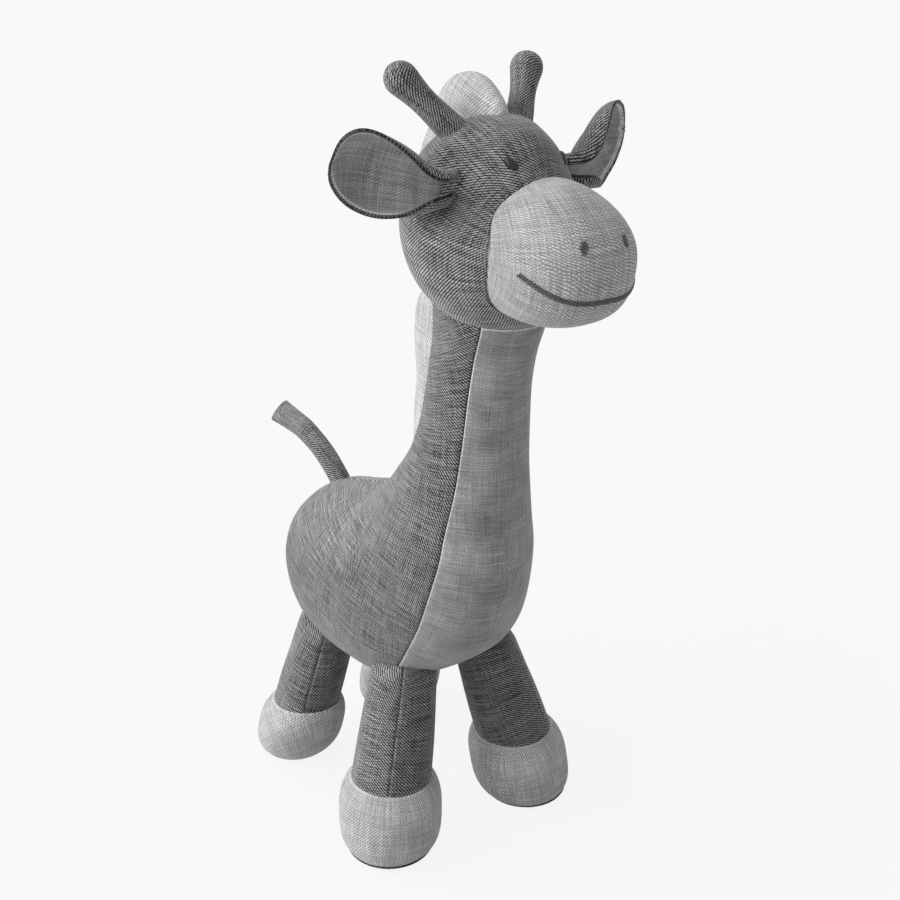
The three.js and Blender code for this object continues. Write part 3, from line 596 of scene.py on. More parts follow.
def twill(name, rib, gap, pitch=1.3, lean=45, slub=0.3, mottle=0.2, deep=0.5, edge=0.25, edge_width=1.1,
          speckle=0.6, painted_top_light=0, sharp=1.2, upright=1.0, drift=0.9):
    """Twill woven of pale and dark yarn, with the shades of its ribs and of the gaps between them. The
    ribs lean across the cloth and are broken where each yarn dives under the next; thick and thin
    yarns streak it both ways. Lengths are millimetres."""
    finish = Finish(bpy.data.materials.new(name))
    place = finish.node("ShaderNodeUVMap")
    u = finish.node("ShaderNodeSeparateXYZ", (place,), output=0)
    v = finish.node("ShaderNodeSeparateXYZ", (place,), output=1)

    def grain(u_scale, v_scale, detail=2.0, rough=0.5):
        spot = finish.node("ShaderNodeCombineXYZ", (u * u_scale, v * v_scale, 0.0))
        return finish.node(
            "ShaderNodeTexNoise", {"Vector": spot, "Scale": 1.0, "Detail": detail, "Roughness": rough},
            noise_dimensions="2D",
        )

    wander = grain(0.12, 0.12)
    side = u * cos(radians(lean)) + v * sin(radians(lean)) + wander * (drift * pitch)
    along = v * cos(radians(lean)) - u * sin(radians(lean))
    ridge = ((side * (2 * pi / pitch)).math("COSINE") * 0.5 + 0.5) ** sharp
    dive = ((along / (1.35 * pitch) + side / (2 * pitch)) * (2 * pi)).math("COSINE") * 0.5 + 0.5
    warp = grain(1.8, 0.06).ramp(0.32, 0.68)
    weft = grain(0.06, 1.8).ramp(0.32, 0.68)
    fuzz = grain(1.7, 1.7, 2.0, 0.6).ramp(0.3, 0.7)
    thread = warp * upright + weft * (1.7 - upright) + fuzz * 0.8 - 1.25
    weave = ridge * (0.5 + dive * 0.5) * (1 + thread * speckle) + thread * (0.2 * speckle)
    streaks = (grain(0.8, 0.04, 3.0) - 0.5) * upright + (grain(0.04, 0.8, 3.0) - 0.5) * (2 - upright)
    clouds = grain(0.06, 0.06, 3.0) - 0.5
    tone = (1 + streaks * (slub * 2.4) + clouds * (mottle * 2.4)).limited(0.3, 2)

    rim = finish.node("ShaderNodeAttribute", output="Fac", attribute_name="rim")
    upward = finish.node("ShaderNodeAttribute", output="Fac", attribute_name="upward")
    # Painted shade: the cloth is darkened within half a millimetre of a seam, where shade falls in the
    # groove.
    painted_seam_shade = 1 - rim.ramp(0.05, 0.5)
    # Painted highlight: a pale band a little in from each seam, where light catches the rolled edge of the
    # cloth; edge sets its strength and edge_width where it ends.
    painted_seam_highlight = rim.ramp(0.3, 0.55) * (1 - rim.ramp(edge_width * 0.65, edge_width))
    yarn = finish.mix(weave.limited(), grey(gap), grey(rib))
    # Painted light and shade on up-facing cloth: it is made lighter by a positive share and darker by a
    # negative one.
    shade = tone * (1 - painted_seam_shade * 0.7) * (1 + upward * painted_top_light) + painted_seam_highlight * edge
    shading = finish.node("ShaderNodeCombineColor", (shade, shade, shade))
    colour = finish.mix(1.0, yarn, shading, blend="MULTIPLY")
    bump = finish.node(
        "ShaderNodeBump", {"Height": weave + tone * 0.25, "Strength": deep, "Distance": 0.35 * mm},
    )
    shader = finish.node("ShaderNodeBsdfPrincipled", {
        "Base Color": colour, "Roughness": 0.86, "Normal": bump,
        "Sheen Weight": 0.5, "Sheen Roughness": 0.4, "Specular IOR Level": 0.2,
    })
    return finish.surface(shader)


# The sides are painted lighter where they face up: painted light.
side_twill = twill("dark_side_twill", 0.47, 0.004, pitch=1.12, lean=42, painted_top_light=0.5, upright=0.7)
# The chest carries a strong painted highlight beside its seams.
chest_twill = twill(
    "grey_chest_twill", 0.50, 0.195, pitch=0.95, lean=45, deep=0.25, slub=0.16, mottle=0.36,
    edge=1.2, sharp=0.8, upright=0.75,
)

body_middle = Vector((0, foot_line + chest_front + trunk_length / 2, belly_height + trunk_depth / 2))
body_places = even_places(rung_travel, len(body_rungs), cloth_step)
body_places[0] = 0.01
side_rows = []
chest_rows = []
for place in body_places:
    rung = body_rung(place)
    turn = seam_turn(rung)
    side_rows.append(even_points(lambda t: ring_point(rung, t), 0, turn, side_columns))
    if pi - turn > 0.004:
        chest_rows.append(even_points(lambda t: ring_point(rung, t), turn, 2 * pi - turn, chest_columns))

head_middle = pivots["head_nod"]
head_radius = 43.5 * mm
head_width = 78 * mm
brow_share = 0.18
temple_share = 0.26
# The stretch of the neck that gives when the head nods, from its lower to its upper end
neck_give = (
    Vector((0, head_middle.y, trunk_top + 0.4 * neck_rise)),
    Vector((0, head_middle.y, head_middle.z - 0.75 * head_radius)),
)


def eased(share):
    """Starts from nothing without a kink, and reaches about the whole share."""
    return 1.12 * share * share / (share + 0.12) if share > 0 else 0


def brow(y, z):
    """How far a place on a round head is drawn in at the temple and at the brow."""
    front = min(max((0.2 - y) / 0.5, 0), 1)
    upper = min(max(z / 0.45, 0), 1)
    taper = front * front * (3 - 2 * front) * upper * upper * (3 - 2 * upper)
    return 1 - temple_share * taper, 1 - brow_share * sin(pi * max(z, 0)) * min(1, eased(-y) * 3)


def from_head(place):
    """How far a place lies outside the head ball."""
    x, y, z = place - head_middle
    round_place = Vector((x / (head_width / 2), y / head_radius, z / head_radius))
    share = round_place.length
    x, y, z = round_place / share
    narrow, flat = brow(y, z)
    for _ in range(4):
        narrow, flat = brow(y / flat, z)
    share *= Vector((x / narrow, y / flat, z)).length
    return (place - head_middle).length * (1 - 1 / share)


def below_head(place):
    return from_head(place) > 0


chest_covers = ["chest_panel", "trunk_stuffing", "neck_stuffing"]
for name, rows, mirrored, shift, slot, material, covers in (
    ("side_cover_left", side_rows, False, 7, "dark_twill", side_twill, ["side_panel_left"]),
    ("side_cover_right", side_rows, True, 7, "dark_twill", side_twill, ["side_panel_right"]),
    ("chest_cover", chest_rows, False, 31, "grey_twill", chest_twill, chest_covers),
):
    panel = cut_panel(name, rows, body_middle, mirrored)
    lay_on_cloth(panel, skyward, shift=shift)
    stuff(panel, body_swell)
    finish_cover(panel, 2, sewn=below_head, joined=from_head)
    dress(panel, "torso", material, covers, give=neck_give)


# Head and muzzle. A ball of dark coarse twill, sewn shut under the chin and up the nape, drawn in at
# the brow and temples, with the neck sewn round it. The muzzle is a squarish ball of light twill,
# stuffed and sewn on in front.
muzzle_width = 55.5 * mm
muzzle_length = 69 * mm
muzzle_depth = 55 * mm
muzzle_forward = -34 * mm
muzzle_drop = 3.5 * mm
muzzle_squareness = 2.4
muzzle_crown = 2
muzzle_jaw = 2.8
bridge_share = 0.16
head_swell = 1.0 * mm
muzzle_swell = 0.9 * mm
tuck = 3.5 * mm


def stuffed_ball(name, cuts, shape):
    """A ball of even squares, each corner put where the shape says."""
    bpy.ops.object.select_all(action="DESELECT")
    bpy.ops.mesh.primitive_cube_add(size=2)
    ball = bpy.context.object
    ball.name = name
    with editing(ball):
        bpy.ops.mesh.subdivide(number_cuts=cuts)
    for corner in ball.data.vertices:
        even = Vector([tan(part * pi / 4) for part in corner.co])
        corner.co = shape(*even.normalized())
    return ball


def take_away(piece, unwanted):
    """Deletes the faces whose middles a test doesn't want."""
    choose(piece)
    bpy.ops.object.mode_set(mode="EDIT")
    bpy.ops.mesh.select_mode(type="FACE")
    bpy.ops.mesh.select_all(action="DESELECT")
    bpy.ops.object.mode_set(mode="OBJECT")
    for face in piece.data.polygons:
        face.select = unwanted(face.center)
    bpy.ops.object.mode_set(mode="EDIT")
    bpy.ops.mesh.delete(type="FACE")
    bpy.ops.object.mode_set(mode="OBJECT")


def head_shape(x, y, z):
    narrow, flat = brow(y, z)
    return head_middle + Vector((x * narrow * head_width / 2, y * flat * head_radius, z * head_radius))


def muzzle_rise(up):
    """How square the muzzle is seen from the side: round above, squarer towards the jaw."""
    share = min(max(0.25 - up, 0), 1)
    return muzzle_crown + (muzzle_jaw - muzzle_crown) * share * share * (3 - 2 * share)


def bridge(up):
    """How wide the muzzle is at a share up from its middle, against its full width."""
    return 1 - bridge_share * max(0, up) ** 2


def muzzle_shape(x, y, z):
    rise = muzzle_rise(z)
    flat = (abs(x) ** muzzle_squareness + abs(y) ** muzzle_squareness) ** (1 / muzzle_squareness)
    size = (flat ** rise + abs(z) ** rise) ** (1 / rise)
    narrow = bridge(z / size)
    return head_middle + Vector((
        (x / size) * narrow * muzzle_width / 2,
        muzzle_forward + (y / size) * narrow * muzzle_length / 2,
        -muzzle_drop + (z / size) * muzzle_depth / 2,
    ))


muzzle_middle = head_middle + Vector((0, muzzle_forward, -muzzle_drop))


def from_muzzle(place):
    """How far a place lies outside the muzzle."""
    x, y, z = place - muzzle_middle
    up = z / (muzzle_depth / 2)
    rise = muzzle_rise(up)
    narrow = bridge(min(1, up))
    wide = abs(x) / (narrow * muzzle_width / 2)
    long = abs(y) / (narrow * muzzle_length / 2)
    flat = (wide ** muzzle_squareness + long ** muzzle_squareness) ** (rise / muzzle_squareness)
    share = (flat + abs(up) ** rise) ** (1 / rise)
    return (place - muzzle_middle).length * (1 - 1 / share)


# The head is painted darker where it faces up: painted shade.
head_twill = twill("dark_head_twill", 0.66, 0.004, pitch=1.05, lean=45, painted_top_light=-0.22)
muzzle_twill = twill(
    "light_muzzle_twill", 0.75, 0.25, pitch=0.95, lean=66, deep=0.3, slub=0.2, mottle=0.15,
    sharp=0.8, drift=3,
)

head = stuffed_ball("head_ball", 17, head_shape)
take_away(head, lambda place: from_muzzle(place) < -tuck)
lay_on_cloth(
    head, Vector((0, 0.5, 1)), shift=5,
    seam=lambda place: abs(place.x) < 0.1 * mm and (place.z < head_middle.z or place.y > head_middle.y),
)
stuff(head, head_swell)
finish_cover(head, 2, joined=from_muzzle, roll=0.6 * mm)
head_covers = ["head_cover", "head_stuffing", "eye_washer_right", "eye_washer_left"]
dress(head, "head", head_twill, head_covers)

muzzle = stuffed_ball("muzzle", 13, muzzle_shape)
take_away(muzzle, lambda place: from_head(place) < -tuck)
lay_on_cloth(muzzle, skyward, shift=17)
stuff(muzzle, muzzle_swell)
finish_cover(muzzle, 2, joined=from_head, roll=0.6 * mm)
dress(muzzle, "head", muzzle_twill, ["muzzle_cover"])


# Legs. Each is a round post of two dark panels, sewn down its front and back, that leans out from
# the hip to its hoof. The hoof is a squarish ball of light twill on a flat dark sole.
side_names = {-1: "right", 1: "left"}
# Sizes in millimetres: where the sole and the leg's seam with the hoof lie (half track and stride), the
# radii at hip, foot and hoof, the hoof's height, how square it is below, its weave's lean and its sole
legs = {
    "front": {
        "sole": (41, 0.5), "seam": (37.3, 5.3), "top": 15.8, "foot": 20,
        "hoof": 25, "hoof_top": 43, "under": 3.7, "hoof_lean": -42,
        "sole_radius": 15.4, "sole_height": 3.6,
    },
    "rear": {
        "sole": (40.5, 99.5), "seam": (37.4, 90), "top": 15.2, "foot": 17.8,
        "hoof": 22.5, "hoof_top": 41.5, "under": 2.8, "hoof_lean": -77,
        "sole_radius": 10.8, "sole_height": 2.3,
    },
}
turned_stance = {"sole": (29, 107.4), "seam": (28, 97)}
seam_height_share = 0.8
leg_seam_turn = 37
dome_share = 0.25
leg_sunk = 4 * mm
leg_overlap = 6 * mm
leg_swell_share = 0.03
hoof_overlap = 5.5 * mm
hoof_hem = 1.2 * mm
limb_swell = 0.7 * mm
leg_step = 0.8 * cloth_step
sole_corners = 72
far_from_seams = 9.0
hoof_squareness = 2.8
leg_columns = 12
sole_profile_shares = (
    (1.06, 0.12), (1.19, 0.42), (1.335, 0.85), (1.355, 1.0), (1.25, 1.06), (0.95, 1.1),
)

# The inner panels, facing the other legs, get a darker twill than the outer ones: partly their own tone,
# partly painted shade between the legs.
leg_twills = {
    "outer": twill("dark_leg_twill", 0.58, 0.004, pitch=1.12, lean=50, slub=0.2, upright=0.6),
    "inner": twill("darker_leg_twill", 0.43, 0.004, pitch=1.12, lean=50, slub=0.2, upright=0.6),
}
sole_twill = twill("dark_sole_twill", 0.20, 0.03, pitch=1.3, lean=45)
for end, leg in legs.items():
    leg["hoof_twill"] = twill(
        f"light_{end}_hoof_twill", 0.77, 0.295, pitch=1.08, lean=leg["hoof_lean"], deep=0.35,
        slub=0.17, sharp=0.8,
    )


def floor_point(side, track_and_stride, height):
    track, stride = track_and_stride
    return Vector((side * track * mm, foot_line + stride * mm, height))


def leg_ring(centre, radius, start, end, count):
    return [
        centre + Vector((sin(turn) * radius, -cos(turn) * radius, 0))
        for turn in spread(start, end, count)
    ]


def make_leg(end, side):
    label = f"{end}_{side_names[side]}"
    leg = dict(legs[end], **(turned_stance if (end, side) == ("rear", 1) else {}))
    body = f"leg_{label}"
    hip = pivots[f"leg_swing_{label}"]
    hoof_top = leg["hoof_top"] * mm
    seam = floor_point(side, leg["seam"], seam_height_share * hoof_top)
    sole = floor_point(side, leg["sole"], 0)
    top, foot = leg["top"] * mm, leg["foot"] * mm
    down = (seam - hip).normalized()
    high = hip - down * leg_sunk
    low = seam + down * leg_overlap

    def station(way):
        """Centre and radius at a way from the top of the dome, 0, past the hip, 1, to the end, 2."""
        if way < 1:
            rise = dome_share * top * cos(way * pi / 2)
            return high + Vector((0, 0, rise)), max(top * sin(way * pi / 2), 0.05 * mm)
        share = way - 1
        swell = 1 + leg_swell_share * sin(pi * share)
        return high.lerp(low, share), (top + (foot - top) * share) * swell

    def travel(a, b):
        (first, wide), (second, narrow) = station(a), station(b)
        return hypot((first - second).length, wide - narrow)

    places = even_places(travel, 2, leg_step)
    front = side * radians(leg_seam_turn)
    for name, direction in (("outer", side), ("inner", -side)):
        rows = [leg_ring(*station(place), front, front + direction * pi, leg_columns) for place in places]
        panel = cut_panel(f"leg_{name}_{label}", rows, (hip + low) / 2)
        lay_on_cloth(panel, (hip - low).normalized(), shift=11 if name == "outer" else 43)
        stuff(panel, limb_swell)
        finish_cover(panel, 2, sewn=lambda place: place.z > low.z + mm)
        dress(panel, body, leg_twills[name], [f"leg_panel_{name}_{label}"])

    lean = seam - sole

    def hoof_shape(x, y, z):
        across = hypot(x, y)
        square = hoof_squareness if z > 0 else leg["under"]
        size = (across ** square + abs(z) ** square) ** (1 / square)
        height = hoof_top / 2 * (1 + z / size)
        centre = sole + lean * (height / lean.z)
        radius = leg["hoof"] * mm / size
        return centre + Vector((x * radius, y * radius, 0))

    def hidden(place):
        return place.z < hoof_hem or place.z > seam.z + hoof_overlap

    def from_leg(place):
        """How far a place on the upper half of the hoof lies outside the post of the leg."""
        if place.z < hoof_top / 2:
            return hoof_top
        share = (place.z - high.z) / (low.z - high.z)
        centre = high.lerp(low, share)
        return hypot(place.x - centre.x, place.y - centre.y) - (top + (foot - top) * share)

    hoof = stuffed_ball(f"hoof_{label}", 11, hoof_shape)
    take_away(hoof, hidden)
    lay_on_cloth(
        hoof, skyward, shift=3,
        seam=lambda place: abs(place.x - sole.x) < 3 * mm and place.y > sole.y + 5 * mm,
    )
    stuff(hoof, limb_swell)
    finish_cover(hoof, 2, joined=from_leg, roll=0.6 * mm)
    hoof_covers = [f"hoof_cover_{label}", f"leg_stuffing_{label}"]
    dress(hoof, body, leg["hoof_twill"], hoof_covers)

    bpy.ops.object.select_all(action="DESELECT")
    radius, sole_height = leg["sole_radius"] * mm, leg["sole_height"] * mm
    bpy.ops.mesh.primitive_circle_add(
        vertices=sole_corners, radius=radius, fill_type="NGON", location=sole,
    )
    pad = bpy.context.object
    pad.name = f"sole_pad_{label}"
    with editing(pad):
        height, wide = 0, 1
        for next_wide, next_height in sole_profile_shares:
            rise = (next_height - height) * sole_height
            bpy.ops.mesh.extrude_region_move(TRANSFORM_OT_translate={"value": (0, 0, rise)})
            bpy.ops.transform.resize(value=(next_wide / wide, next_wide / wide, 1), center_override=sole)
            height, wide = next_height, next_wide
        bpy.ops.mesh.select_all(action="SELECT")
        bpy.ops.mesh.normals_make_consistent(inside=False)
        bpy.ops.uv.cube_project(cube_size=mm, scale_to_bounds=False)
    bpy.ops.object.transform_apply(location=True, rotation=True, scale=True)
    keep(pad.data, "rim", [far_from_seams] * len(pad.data.vertices))
    smooth(pad)
    dress(pad, body, sole_twill, [f"sole_{label}"])


for end in ("front", "rear"):
    for side in (-1, 1):
        make_leg(end, side)


# Crests. The mane down the neck and the one over the head are flat stuffed strips of pale twill,
# sewn shut along their outer edge and to the cover along their root, with lobes drawn in between.
crest_thickness = 14 * mm
neck_crest = 22 * mm
head_crest = 20 * mm
crest_root_share = 0.3
crest_line_share = 1.39
crest_squareness = 3
crest_tip_share = 0.28
crest_columns = 20
crest_step = 0.75 * cloth_step
crest_swell = 0.8 * mm
seam_reach = 0.05 * mm
neck_crest_shares = (
    (0.62, 1.02), (0.90, 0.95), (1.00, 0.85), (0.98, 0.73), (0.92, 0.62), (0.98, 0.51),
    (1.00, 0.41), (0.97, 0.32), (0.90, 0.235), (0.66, 0.165),
)
head_crest_shares = (
    (1, 0.30), (7, 0.54), (14, 0.77), (23, 0.92), (32, 0.98), (42, 0.90),
    (53, 0.72), (66, 0.75), (78, 0.72), (89, 0.58), (99, 0.56), (107, 0.40),
)
crest_twill = twill(
    "pale_crest_twill", 0.82, 0.37, pitch=1.15, lean=-30, deep=0.3, slub=0.25, sharp=0.8,
)


def back_line(rise):
    """The point of the neck's back line at a share of the neck's rise."""
    height = trunk_top + rise * neck_rise
    rungs = body_rungs[7:]
    above = next((k for k, rung in enumerate(rungs) if k and rung[0].z >= height), len(rungs) - 1)
    low, high = rungs[above - 1][0], rungs[above][0]
    return low.lerp(high, (height - low.z) / (high.z - low.z))


neck_edge = foot_line + chest_front + crest_line_share * neck_depth
neck_stations = []
for height, rise in neck_crest_shares:
    root = back_line(rise) - Vector((0, crest_root_share * neck_crest, 0))
    neck_stations.append((root, Vector((0, neck_edge - (1 - height) * neck_crest, root.z)), height))

head_stations = []
for degrees, height in head_crest_shares:
    ray = Vector((0, sin(radians(degrees)), cos(radians(degrees))))
    root = head_middle + ray * (head_radius - crest_root_share * head_crest)
    head_stations.append((root, head_middle + ray * (head_radius + height * head_crest), height))


def crest_section(root, edge, height, turn):
    rung = (edge, root, crest_thickness / 2 * sqrt(max(height, 0.05)), crest_squareness)
    return ring_point(rung, turn)


def apart(spot):
    """The distance between the spots at two places, as a measure of the way between them."""
    return lambda a, b: (spot(a) - spot(b)).length


def make_crest(name, stations, body, covers, give=None):
    """Rows run from end to end of the crest, and the ends close to a rounded tip."""
    last = len(stations) - 1

    def station(place):
        """Place 0 to 1 is the first tip, the last 1 is the other, and the stations lie between."""
        if 1 <= place <= last + 1:
            return through(stations, place - 1)
        tip = stations[0] if place < 1 else stations[-1]
        inner = stations[1] if place < 1 else stations[-2]
        middle = (tip[0] + tip[1]) / 2
        way = (middle - (inner[0] + inner[1]) / 2).normalized() * (crest_thickness * crest_tip_share)
        share = 1 - place if place < 1 else place - last - 1
        narrow = sqrt(max(1 - share * share, 0))
        centre = middle + way * share
        return (
            centre + (tip[0] - middle) * narrow, centre + (tip[1] - middle) * narrow,
            tip[2] * narrow * narrow + 1e-6,
        )

    places = even_places(apart(lambda place: station(place)[1]), last + 2, crest_step)
    turns = spread(0, 2 * pi, crest_columns)
    rows = [[crest_section(*station(place), turn) for turn in turns] for place in places]
    crest = cut_panel(name, rows, (stations[last // 2][0] + stations[last // 2][1]) / 2)
    lay_on_cloth(crest, skyward, shift=23, seam=lambda place: abs(place.x) < seam_reach)
    stuff(crest, crest_swell, [v.index for v in crest.data.vertices if abs(v.co.x) < seam_reach])
    finish_cover(crest, 2)
    dress(crest, body, crest_twill, covers, give=give)


make_crest("neck_crest", neck_stations, "torso", ["neck_mane", "neck_mane_stuffing"], give=neck_give)
make_crest("head_crest", head_stations, "head", ["head_mane", "head_mane_stuffing"])


# Horns. Two posts of dark twill with round bulbs, each sewn up behind and stuffed, and sewn to the
# crown on either side of the mane.
horn_length = 24.5 * mm
horn_radius = 5.2 * mm
horn_bulb = 7.1 * mm
horn_root_shares = (0.454, 0.262, 0.908)
horn_rake_shares = (0.524, 0.515, 0.679)
horn_columns = 20
horn_step = 2.6 * mm
bulb_start = radians(-18)
bulb_steps = 8
horn_profile_shares = ((1.18, -0.35), (1.14, 0.0), (1.04, 0.35), (1.06, 0.58), (1.2, 0.80))
horn_twill = twill("dark_horn_twill", 0.55, 0.004, pitch=0.95, lean=-38)


def on_head(side, across, along, up):
    return head_middle + Vector((side * across * head_width / 2, along * head_radius, up * head_radius))


def on_side(side, x, y, z):
    return Vector((side * x, y, z))


def make_horn(side):
    label = side_names[side]
    rake = on_side(side, *horn_rake_shares).normalized()
    turn_up = skyward.rotation_difference(rake)
    root = on_head(side, *horn_root_shares)
    profile = [(wide * horn_radius, along * horn_length) for wide, along in horn_profile_shares]
    for turn in spread(bulb_start, pi / 2, bulb_steps):
        profile.append((max(horn_bulb * cos(turn), 0.05 * mm), horn_length + horn_bulb * sin(turn)))

    def station(place):
        return through(profile, place)

    rows = []
    for place in even_places(lambda a, b: dist(station(a), station(b)), len(profile) - 1, horn_step):
        wide, along = station(place)
        ring = [
            Vector((cos(turn) * wide, sin(turn) * wide, along)) for turn in spread(0, 2 * pi, horn_columns)
        ]
        rows.append([root + turn_up @ point for point in ring])
    horn = cut_panel(f"horn_post_{label}", rows, root + rake * horn_length / 2)
    behind = turn_up @ Vector((1, 0, 0))
    lay_on_cloth(
        horn, rake, shift=13,
        seam=lambda place: (place - root - rake * rake.dot(place - root)).angle(behind, 0) < 0.01,
    )
    finish_cover(horn, 2)
    dress(horn, "head", horn_twill, [f"horn_{label}", f"horn_stuffing_{label}"])


for side in (-1, 1):
    make_horn(side)


# Ears. A dark twill leaf with a mid grey lining, sewn round its rim, turned, topstitched with thread
# along the edge, and folded forward where its root is sewn to the head.
ear_length = 44 * mm
ear_width = 32 * mm
ear_depth = 3.5 * mm
ear_cloth = 1.1 * mm
ear_along_shares = (0.89, 0.404, 0.208)
ear_facing_shares = (0.436, -0.89, -0.134)
# The lower and the upper edge of an ear, from its root to its tip, in shares of its length and width
ear_lower_shares = (
    (-0.10, -0.14), (0.08, -0.20), (0.25, -0.30), (0.56, -0.40), (0.80, -0.33), (0.96, -0.12), (0.99, 0.10),
)
ear_upper_shares = (
    (-0.10, 0.24), (0.05, 0.25), (0.18, 0.30), (0.44, 0.47), (0.72, 0.57), (0.86, 0.53), (0.95, 0.38),
    (0.99, 0.10),
)
# How far each edge rolls forward, in half circles, at shares of the way from the root to the tip
ear_lower_roll_shares = ((0, 1.12), (0.18, 1.05), (0.38, 0.64), (0.6, 0.5), (0.9, 0.34), (1, 0.28))
ear_upper_roll_shares = ((0, 0.84), (0.25, 0.80), (0.6, 0.5), (0.9, 0.34), (1, 0.28))
ear_sink = 7 * mm
ear_sink_share = 0.16
ear_lip = 5 * mm
ear_lip_growth = 4 * mm
ear_lip_limit_share = 0.66
ear_welt = 0.7 * mm
ear_welt_end_share = 0.6
ear_rows = 26
ear_columns = 26
ear_rim = 0.7 * mm
ear_lining_lift = 0.6 * mm
behind_ear = 60 * mm
# The ear's back carries no painted highlight at its rim; the lining carries a broad one along its rim.
back_twill = twill("dark_ear_twill", 0.55, 0.005, pitch=1.15, lean=40, edge=0)
lining_twill = twill(
    "grey_lining_twill", 0.54, 0.25, pitch=1.0, lean=34, deep=0.2, edge=1.0, edge_width=2.4,
    sharp=0.8,
)


def ear_frame(side):
    along = on_side(side, *ear_along_shares).normalized()
    facing = on_side(side, *ear_facing_shares)
    facing = (facing - along * facing.dot(along)).normalized()
    return along, facing, facing.cross(along) * side


def ear_edge(shares, way):
    """A point at a share of the way along an edge of an ear, from the root to the tip."""
    points = [(u * ear_length, v * ear_width) for u, v in shares]
    travel = travelled(dist(a, b) for a, b in zip(points, points[1:]))
    return Vector(through(points, sum(stretch_at(travel, way * travel[-1]))))


def ear_sheet(name, side, root, lift, margin, welt):
    """One layer of an ear, in rows across it from the root to the tip. The rows are cupped, and
    towards the root their ends roll forward into lips. A layer stands in front of the back by a
    lift, keeps a margin from the rim at the tip, and reaches past it by a welt at the root."""
    along, facing, up = ear_frame(side)
    rows = []
    for way in map(sin, spread(0, pi / 2, ear_rows)):
        low, high = ear_edge(ear_lower_shares, way), ear_edge(ear_upper_shares, way)
        middle, half = (low + high) / 2, max((high - low).length / 2, 0.05 * mm)
        if half < 1.4 * margin:
            break
        turns = [pi * read_off(shares, way) for shares in (ear_lower_roll_shares, ear_upper_roll_shares)]
        bent = min(turns[0], pi / 2)
        lip = min(ear_lip + ear_lip_growth * way, ear_lip_limit_share * half)
        flat = half - lip * sin(bent)
        sewn = min(max(1 - way / ear_welt_end_share, 0), 1)
        sunk = ear_sink * max(1 - way / ear_sink_share, 0) ** 2
        straight = (high - low).normalized()
        across = along * straight.x + up * straight.y
        row = []
        for c in range(ear_columns + 1):
            share = sin(pi / 2 * (2 * c / ear_columns - 1))
            place = share * (flat + lip * turns[share > 0] + welt * sewn - margin * (1 - sewn))
            angle = max(abs(place) - flat, 0) / lip
            aside = min(abs(place), flat) + (lip - lift) * sin(angle)
            ahead = lip * cos(bent) - (lip - lift) * cos(angle) - sunk
            cup = ear_depth * sqrt(sin(pi * min(way, 0.98))) * (1 - (min(abs(place), flat) / flat) ** 2)
            aside *= 1 if place > 0 else -1
            row.append(root + along * middle.x + up * middle.y + across * aside + facing * (ahead - cup))
        rows.append(row)
    return cut_panel(name, rows, root - facing * behind_ear), along


def anywhere(place):
    return True


def make_ear(side):
    label = side_names[side]
    root = pivots[f"ear_flap_{label}"]
    back, along = ear_sheet(f"ear_shell_{label}", side, root, 0, 0, 0)
    lay_on_cloth(back, along, shift=29)
    finish_cover(back, 1, sewn=anywhere, wall=ear_cloth, roll=0.4 * mm, bend=mm, ripple=0.1 * mm)
    change(back, "SUBSURF", levels=1, render_levels=1)
    dress(back, f"ear_{label}", back_twill, [f"ear_back_{label}"])
    lining, along = ear_sheet(f"ear_lining_cloth_{label}", side, root, ear_lining_lift, ear_rim, ear_welt)
    lay_on_cloth(lining, along, shift=37)
    finish_cover(lining, 1, sewn=anywhere, wall=0.5 * mm, roll=0.5 * mm, bend=mm, ripple=0.15 * mm)
    dress(lining, f"ear_{label}", lining_twill, [f"ear_lining_{label}"])


for side in (-1, 1):
    make_ear(side)


# Tail. A thin stuffed tube of dark twill that rises from the rump and bends back. Its end is pressed
# flat, turned in and sewn shut square.
tail_radius = 5.4 * mm
tail_flare = 1.7 * mm
tail_flatness = 0.6
tail_length = 75 * mm
tail_rise = 27 * mm
tail_step = 2.8 * mm
tail_columns = 16
tail_seam_column = 12
tail_route_shares = ((0, 0), (0.10, 0.33), (0.32, 0.72), (0.58, 0.95), (0.80, 1), (1, 1.02))
# The turned-in end: shares of its outline, and how far each lies past it in millimetres
tail_end_shares = ((1, -0.7), (1, -0.15), (0.99, 0.1), (0.93, 0.2), (0.8, 0.2), (0.45, 0.2), (0.02, 0.2))
tail_twill = twill("dark_tail_twill", 0.54, 0.005, pitch=1.1, lean=48)

tail_root = pivots["tail_swing"]
tail_route = [tail_root + Vector((0, a * tail_length, r * tail_rise)) for a, r in tail_route_shares]
tail_route.insert(0, tail_root * 2 - tail_route[1])


def tail_place(place):
    return Vector(through([tuple(point) for point in tail_route], place))


tail_last = len(tail_route) - 1
tail_rows = []
for place in even_places(apart(tail_place), tail_last, tail_step):
    centre = tail_place(place)
    along = (tail_place(min(place + 0.02, tail_last)) - tail_place(max(place - 0.02, 0))).normalized()
    upward = Vector((0, -along.z, along.y))
    way = max(place - 1, 0) / (tail_last - 1)
    wide = tail_radius + tail_flare * way ** 3
    thin = tail_radius * (1 - tail_flatness * way ** 3)
    broad_way = Vector((1, 0, 0)) + upward
    thin_way = Vector((1, 0, 0)) - upward
    tail_rows.append([
        centre + (broad_way * (wide * cos(turn)) + thin_way * (thin * sin(turn))) / sqrt(2)
        for turn in spread(0, 2 * pi, tail_columns)
    ])
end_ring = tail_rows.pop()
for share, sink in tail_end_shares:
    tail_rows.append([centre + (point - centre) * share + along * (sink * mm) for point in end_ring])

tail = cut_panel("tail_tube", tail_rows, tail_place(2))
lay_on_cloth(
    tail, Vector((0, 1, 0.4)), shift=19,
    seam=lambda place: any((place - row[tail_seam_column]).length < seam_reach for row in tail_rows),
)
finish_cover(tail, 2)
dress(tail, "tail", tail_twill, ["tail", "tail_stuffing"])


# Face. Two glossy black bead eyes, set slanting on the head and locked behind the cloth, and nostrils
# and a smile in satin stitch of dark thread.
eye_width = 3.7 * mm
eye_height = 6.9 * mm
eye_dome = 1.3 * mm
